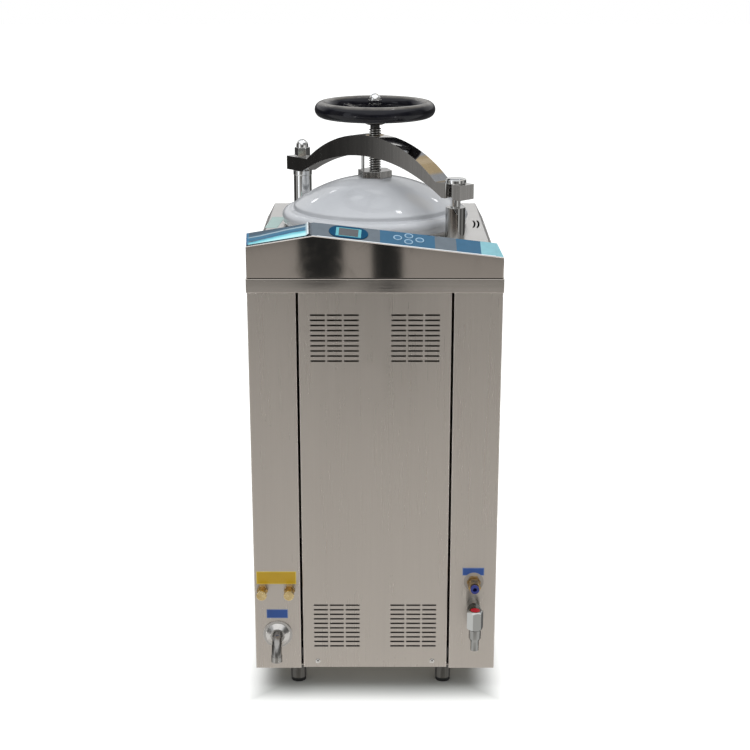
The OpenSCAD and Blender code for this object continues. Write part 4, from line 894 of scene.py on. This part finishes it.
for nodeName, offset in keypad["keys"].items():
    makeKey(nodeName, offset)

display = {"centre": (0.0665, 0.025), "window": (0.0488, 0.0308, 0.0033), "windowUp": 0.00015,
           "lcd": (0.0372, 0.0262, 0.0004), "lcdUp": 0.0019}


def makeDisplay():
    v = display
    dress(softened("display_bezel", 0.0004, 3, sharpEdge), "bezelBlue")
    place = keyFace @ Matrix.Translation((v["centre"][0], v["centre"][1], 0))
    window = slab("display_glass", v["window"], (0, 0, v["windowUp"]), 0.0003)
    window.matrix_world = place
    settle(window)
    dress(window, "lcdCyan")
    standIn(window, "display_window")
    panel = slab("display_panel", v["lcd"], (0, 0, v["lcdUp"]), 0.0002)
    panel.matrix_world = place
    settle(panel)
    dress(panel, "lcdGrey")
    addTo("cabinet", panel)


makeDisplay()

# each fold has its place, steepness and height, and the curl its reach and height
film = {"length": 0.1256, "depth": 0.0455, "lift": 0.0007, "rows": 40, "columns": 60,
        "start": (0.0014, 0.0026), "slant": 0.26, "thick": 0.0003, "frontFold": (0.19, 12, 0.0016),
        "rearFold": (0.56, 14, 0.0022), "peakFold": (0.955, 1 / 0.03, 0.0034), "frontCurl": (0.10, 0.0015)}


def ridge(at, place, steep, high):
    return max(0.0, 1 - abs(at - place) * steep) * high


def makeFilm():
    # the sheet left on the left face: a curled front strip, two folds along it, and one at the peak
    v = film
    putDown()
    bpy.ops.mesh.primitive_grid_add(x_subdivisions=v["columns"], y_subdivisions=v["rows"], size=1,
                                    location=(0.5, 0.5, 0))
    piece = bpy.context.object
    piece.name = "protective_film"
    settle(piece)
    sheet = piece.data.uv_layers.new(name="spread")
    for loop in piece.data.loops:
        sheet.data[loop.index].uv = piece.data.vertices[loop.vertex_index].co.xy
    for vert in piece.data.vertices:
        s, t = vert.co.x, vert.co.y
        across = t - v["slant"] * s
        front = ridge(across, *v["frontFold"])
        rear = ridge(across, *v["rearFold"]) * (0.25 + 0.75 * s)
        wave = 0.0005 * math.sin(9 * s + 3 * t) * math.sin(math.pi * t)
        reach, high = v["frontCurl"]
        curl = ridge(s, *v["peakFold"]) + high * max(0.0, 1 - t / reach) ** 2
        vert.co = (v["start"][0] + v["length"] * s, v["start"][1] + v["depth"] * t,
                   v["lift"] + front + rear + max(0, wave) + curl)
    thick = piece.modifiers.new("thick", "SOLIDIFY")
    thick.thickness = v["thick"]
    thick.offset = 1
    applyAll(piece)
    piece.matrix_world = filmFace
    settle(piece)
    finishMesh(piece, 24)
    dress(piece, "filmCreased")
    return addTo("cabinet", piece)


makeFilm()

scrap = {"width": 0.026, "length": 0.121, "thick": 0.0002, "middle": (-0.2128, 0.096, 0.9052),
         "start": 0.0355, "shift": -0.0063, "lean": 0.0080, "flare": 0.0030}


def makeScrap():
    # a scrap of the same film on the top cover, left of the lid
    v = scrap
    piece = slab("film_scrap", (v["width"], v["length"], v["thick"]), v["middle"])
    for vert in piece.data.vertices:
        along = (vert.co.y - v["start"]) / v["length"]
        flare = v["flare"] * along if vert.co.x > v["middle"][0] else 0
        vert.co.x += v["shift"] + v["lean"] * along + flare
    dress(piece, "filmPatch")
    return addTo("cabinet", piece)


makeScrap()
print("console face made")

# middle X and Z, width, height and material; the border's material has Edge after the name
labels = {"label_upper_left": (-0.20005, 0.2514, 0.0805, 0.0277, "labelYellow"),
          "label_lower_left": (-0.19955, 0.1714, 0.0435, 0.0197, "labelBlue"),
          "label_right": (0.1989, 0.2650, 0.0440, 0.0170, "labelBlue")}
labelThick, labelBorder = 0.0005, 0.0011


def makeLabel(name, x, z, width, height, material):
    # a bare printed tag with a narrow border, stuck on the sheet
    piece = slab(name, (width, labelThick, height), (x, frontY - labelThick / 2, z), 0.0002, 1)
    pickUp(piece)
    bpy.ops.object.mode_set(mode="EDIT")
    selectWhere(piece, faces=lambda f: f.normal.y < -0.99 and f.calc_area() > width * height * 0.5)
    bpy.ops.mesh.inset(thickness=labelBorder, depth=0)
    bpy.ops.object.mode_set(mode="OBJECT")
    dress(piece, material + "Edge", material)
    chosen(piece, lambda f: f.normal.y < -0.99 and f.area > width * height * 0.5)
    return addTo("cabinet", piece)


for name, row in labels.items():
    makeLabel(name, *row)

fittings = {"panel_screws": (0.0003, "steelTube"), "drain_rosette": (0.0006, "steelTube"),
            "drain_elbow": (0.0005, "drainSteel"), "tank_nipples": (0.0005, "brass"),
            "nipple_caps": (0.0012, "brassBright"), "inlet_fitting": (0.0005, "brass"),
            "inlet_collar": (0.0005, "collarBlue"), "tap_body": (0.0007, "tapChrome"),
            "tap_knob": (0.0009, "knobChrome"), "tap_index": (0.0003, "indexRed")}
washer = {"reach": 0.0185, "back": 0.0012}


def onWasher(face):
    # the flat sealing washer of the inlet: far from its axis and close to the sheet
    corners = [piece.data.vertices[i].co for i in face.vertices]
    reach = max(math.hypot(c.x - middle.x, c.z - middle.z) for c in corners)
    return reach > washer["reach"] and min(c.y for c in corners) > frontY - washer["back"]


for nodeName, (width, material) in fittings.items():
    # no fillet inside the collar's corner, which goes into the fitting when it is pressed
    only = (lambda e: sharpEdge(e) and e.is_convex) if nodeName == "inlet_collar" else None
    piece = dress(softened(nodeName, width, 2, only), material)
    if nodeName == "inlet_fitting":
        middle = sum((Vector(c) for c in piece.bound_box), Vector()) / 8
        dress(piece, material, "washerClear")
        chosen(piece, onWasher)
print("fittings made")

floorLook = {"size": 40, "drop": 0.0002, "aside": 0.19, "before": -frontY - 0.02, "fade": 0.11, "glow": 0.9}


def makeFloor():
    # pale floor: it keeps the object's shadow and turns plain white further out
    v = floorLook
    putDown()
    bpy.ops.mesh.primitive_plane_add(size=v["size"], location=(0, 0, -v["drop"]))
    floor = bpy.context.object
    floor.name = "studio_floor"
    tree, shader, coords = blank("studioFloor", {"Base Color": (0.42, 0.43, 0.41, 1), "Roughness": 0.9,
                                                 "Specular IOR Level": 0.1})
    place = splitUp(tree, coords)
    away = mathNode(tree, "MAXIMUM", minus(tree, sizeOf(tree, place["X"]), v["aside"]),
                    minus(tree, sizeOf(tree, place["Y"]), v["before"]))
    ray = tree.nodes.new("ShaderNodeLightPath")
    seen = mathNode(tree, "MAXIMUM", ray.outputs["Is Camera Ray"], ray.outputs["Is Transmission Ray"])
    glow = tree.nodes.new("ShaderNodeEmission")
    wire(tree, times(tree, seen, eased(tree, away, 0.0, v["fade"], 0.0, v["glow"])), glow.inputs["Strength"])
    both = summed(tree, shader.outputs[0], glow.outputs[0])
    wire(tree, both, tree.nodes["Material Output"].inputs["Surface"])
    materials["studioFloor"].cycles.emission_sampling = "NONE"
    dress(floor, "studioFloor")
    floor.visible_glossy = False
    floor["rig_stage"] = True


makeFloor()

# dark cards in front, which only the polished steel mirrors: middle, size and corner radius
coated("darkCard", (0.030, 0.034, 0.036), 0.9)
cards = {"card_left": ((-0.152, 0.86), (0.124, 0.66), 0.05),
         "card_middle": ((0.034, 0.70), (0.086, 1.00), 0.006)}
cardAway, cardThick = 1.3, 0.01
for name, (middle, size, corner) in cards.items():
    card = slab(name, (size[0], cardThick, size[1]), (middle[0], frontY - cardAway, middle[1]))
    pickUp(card)
    bpy.ops.object.mode_set(mode="EDIT")
    selectWhere(card, edges=lambda e: abs(e.verts[0].co.y - e.verts[1].co.y) > cardThick / 2)
    bpy.ops.mesh.bevel(offset=corner, segments=8, affect="EDGES")
    bpy.ops.object.mode_set(mode="OBJECT")
    dress(card, "darkCard")
    card.visible_camera = card.visible_diffuse = card.visible_shadow = False
    card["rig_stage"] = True


def softLamp(name, place, aim, size, power):
    data = bpy.data.lights.new(name, "AREA")
    data.shape = "RECTANGLE"
    data.size = data.size_y = size
    data.energy = power
    lamp = bpy.data.objects.new(name, data)
    bpy.context.scene.collection.objects.link(lamp)
    lamp.location = place
    lamp.rotation_euler = (Vector(aim) - Vector(place)).to_track_quat("-Z", "Y").to_euler()
    lamp.visible_glossy = False


softLamp("lampKey", (-1.2, -1.4, 3.3), (0, 0, 0.6), 1.6, 34)
softLamp("lampFill", (2.0, -1.0, 2.4), (0, 0, 0.6), 1.4, 12)
softLamp("lampTop", (0.1, 0.3, 3.2), (0, 0.1, 0.9), 1.0, 20)

world = bpy.context.scene.world or bpy.data.worlds.new("studioWorld")
bpy.context.scene.world = world
world.use_nodes = True
world.cycles.sampling_method = "NONE"
sky = world.node_tree
for old in list(sky.nodes):
    sky.nodes.remove(old)
toward = sky.nodes.new("ShaderNodeTexCoord").outputs["Generated"]
parts = splitUp(sky, toward)
x, y, z = parts["X"], parts["Y"], parts["Z"]
# what metal mirrors: a hall of paler and darker walls round the object, by bearing (0 is the front)
bearing = mathNode(sky, "ARCTAN2", x, times(sky, y, -1.0))
off = sizeOf(sky, bearing)
wallStops = ((-180, 0.10), (-100, 0.025), (-96.2, 0.03), (-95.4, 0.075), (-94.3, 0.22), (-92.6, 0.31),
             (-78, 0.36), (-68, 0.10), (-60, 0.12), (-50, 0.42), (-14, 0.30), (4, 0.22), (26, 0.26),
             (46, 0.42), (58, 0.12), (68, 0.12), (78, 0.42), (96, 0.34), (106, 0.07), (180, 0.10))
walls = rampOf(sky, ranged(sky, bearing, 0.0, 1.0, -math.pi, math.pi), [
    ((angle + 180) / 360, (level, level * 0.99, level * 0.97)) for angle, level in wallStops])
# the ceiling's light begins lower behind the object than before it
height = plus(sky, z, times(sky, sizeOf(sky, y), 0.45))
ceiling = blended(sky, eased(sky, height, 0.60, 0.84), walls, (0.93, 0.96, 1.0))
behind = eased(sky, y, 0.30, 0.50)
for low, high, color in ((0.06, 0.18, (0.80, 0.80, 0.80)), (0.48, 0.60, (0.40, 0.42, 0.45))):
    ceiling = blended(sky, times(sky, behind, eased(sky, z, low, high)), ceiling, color)


def nearness(where, outer, inner, power):
    angle = sky.nodes.new("ShaderNodeVectorMath")
    angle.operation = "DOT_PRODUCT"
    wire(sky, toward, angle.inputs[0])
    angle.inputs[1].default_value = Vector(where).normalized()
    return eased(sky, angle.outputs["Value"], outer, inner, 0.0, power)


ceiling = blended(sky, nearness((0.34, 0.60, 0.70), 0.986, 0.993, 0.7), ceiling, (0.62, 0.45, 0.20))
# a bright strip overhead in front, which draws the pale line along broken upper edges
strip = times(sky, eased(sky, z, 0.55, 0.66), eased(sky, y, 0.12, 0.26, 1.0, 0.0))
lower = times(sky, eased(sky, z, 0.24, 0.34), eased(sky, off, 0.30, 0.45, 1.0, 0.0))
ceiling = blended(sky, mathNode(sky, "MAXIMUM", strip, lower), ceiling, (1.35, 1.36, 1.38))
# below the horizon: the floor, paler close by, bright at the sides and dark behind the object
floorStops = ((0.0, 0.15), (0.194, 0.15), (0.207, 0.42), (0.235, 0.43), (0.265, 0.54), (0.45, 0.62),
              (0.62, 0.85), (0.8, 1.0))
floorTone = rampOf(sky, times(sky, z, -1.0), [
    (fall, (level, level * 0.985, level * 0.955)) for fall, level in floorStops])
beside = times(sky, eased(sky, off, 0.45, 0.70), eased(sky, off, 1.7, 1.95, 1.0, 0.0))
floorTone = blended(sky, beside, floorTone, (1.05, 1.05, 1.04))
floorTone = blended(sky, eased(sky, off, 1.7, 1.95, 0.0, 0.9), floorTone, (0.10, 0.10, 0.10))
frontFloor = times(sky, eased(sky, z, -0.12, -0.02, 1.0, 0.0), eased(sky, off, 0.60, 0.85, 1.0, 0.0),
                   clamp=True)
nearFloor = mathNode(sky, "MAXIMUM", frontFloor, eased(sky, z, -0.25, -0.21, 1.0, 0.0), clamp=True)
mirrored = blended(sky, nearFloor, ceiling, floorTone)
# a tall window on the left, which draws the pale lines along upright edges
window = times(sky, eased(sky, bearing, -1.12, -1.06), eased(sky, bearing, -0.84, -0.78, 1.0, 0.0))
window = times(sky, window, eased(sky, z, -0.42, -0.36))
window = times(sky, window, eased(sky, z, 0.40, 0.46, 1.0, 0.0), clamp=True)
mirrored = blended(sky, window, mirrored, (1.3, 1.33, 1.38))
# small lamps that only show as glints: direction, cosines of the outer and inner edge, strength
glints = (((-0.157, 0.53, 0.834), 0.9975, 0.9990, 1.6), ((0.248, 0.256, 0.934), 0.9993, 0.9998, 16),
          ((-0.385, 0.779, 0.495), 0.9994, 0.9998, 7), ((0.345, 0.665, 0.662), 0.9985, 0.9996, 0.12),
          ((0.378, 0.789, 0.485), 0.9996, 0.9999, 8), ((-0.264, 0.802, 0.536), 0.9995, 0.9999, 4),
          ((-0.587, -0.695, -0.30), 0.9985, 0.9995, 11), ((0.587, -0.695, -0.30), 0.9985, 0.9995, 11))
shine = nearness(*glints[0])
for glint in glints[1:]:
    shine = plus(sky, shine, nearness(*glint))


def skyLight(color, strength):
    made = sky.nodes.new("ShaderNodeBackground")
    feed(sky, color, made.inputs["Color"])
    feed(sky, strength, made.inputs["Strength"])
    return made.outputs[0]


mirrors = summed(sky, skyLight(mirrored, 1.0), skyLight((0.8, 0.8, 0.8), shine))
white = skyLight((1.0, 1.0, 1.0), 1.0)
# what matt surfaces gather: more from above than from the side
lit = skyLight((0.97, 0.98, 1.0), eased(sky, z, -0.1, 0.7, 0.28, 0.82))
ray = sky.nodes.new("ShaderNodeLightPath")
for title, light in (("Is Glossy Ray", mirrors), ("Is Transmission Ray", white), ("Is Camera Ray", white)):
    mixBack = sky.nodes.new("ShaderNodeMixShader")
    for source, socket in zip((ray.outputs[title], lit, light), mixBack.inputs):
        wire(sky, source, socket)
    lit = mixBack.outputs[0]
out = sky.nodes.new("ShaderNodeOutputWorld")
wire(sky, lit, out.inputs["Surface"])

# millimetres, metres before the cabinet and over the floor, degrees
view = {"lens": 71.23, "sensor": 36, "away": 2.7531, "height": 1.5253, "tilt": 72.95}
camera = bpy.data.objects.new("camera", bpy.data.cameras.new("camera"))
bpy.context.scene.collection.objects.link(camera)
camera.data.lens = view["lens"]
camera.data.sensor_width = view["sensor"]
camera.location = (0, frontY - view["away"], view["height"])
camera.rotation_euler = (math.radians(view["tilt"]), 0, 0)
bpy.context.scene.camera = camera
bpy.context.scene.view_settings.view_transform = "Standard"

low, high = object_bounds()
print("studio ready")
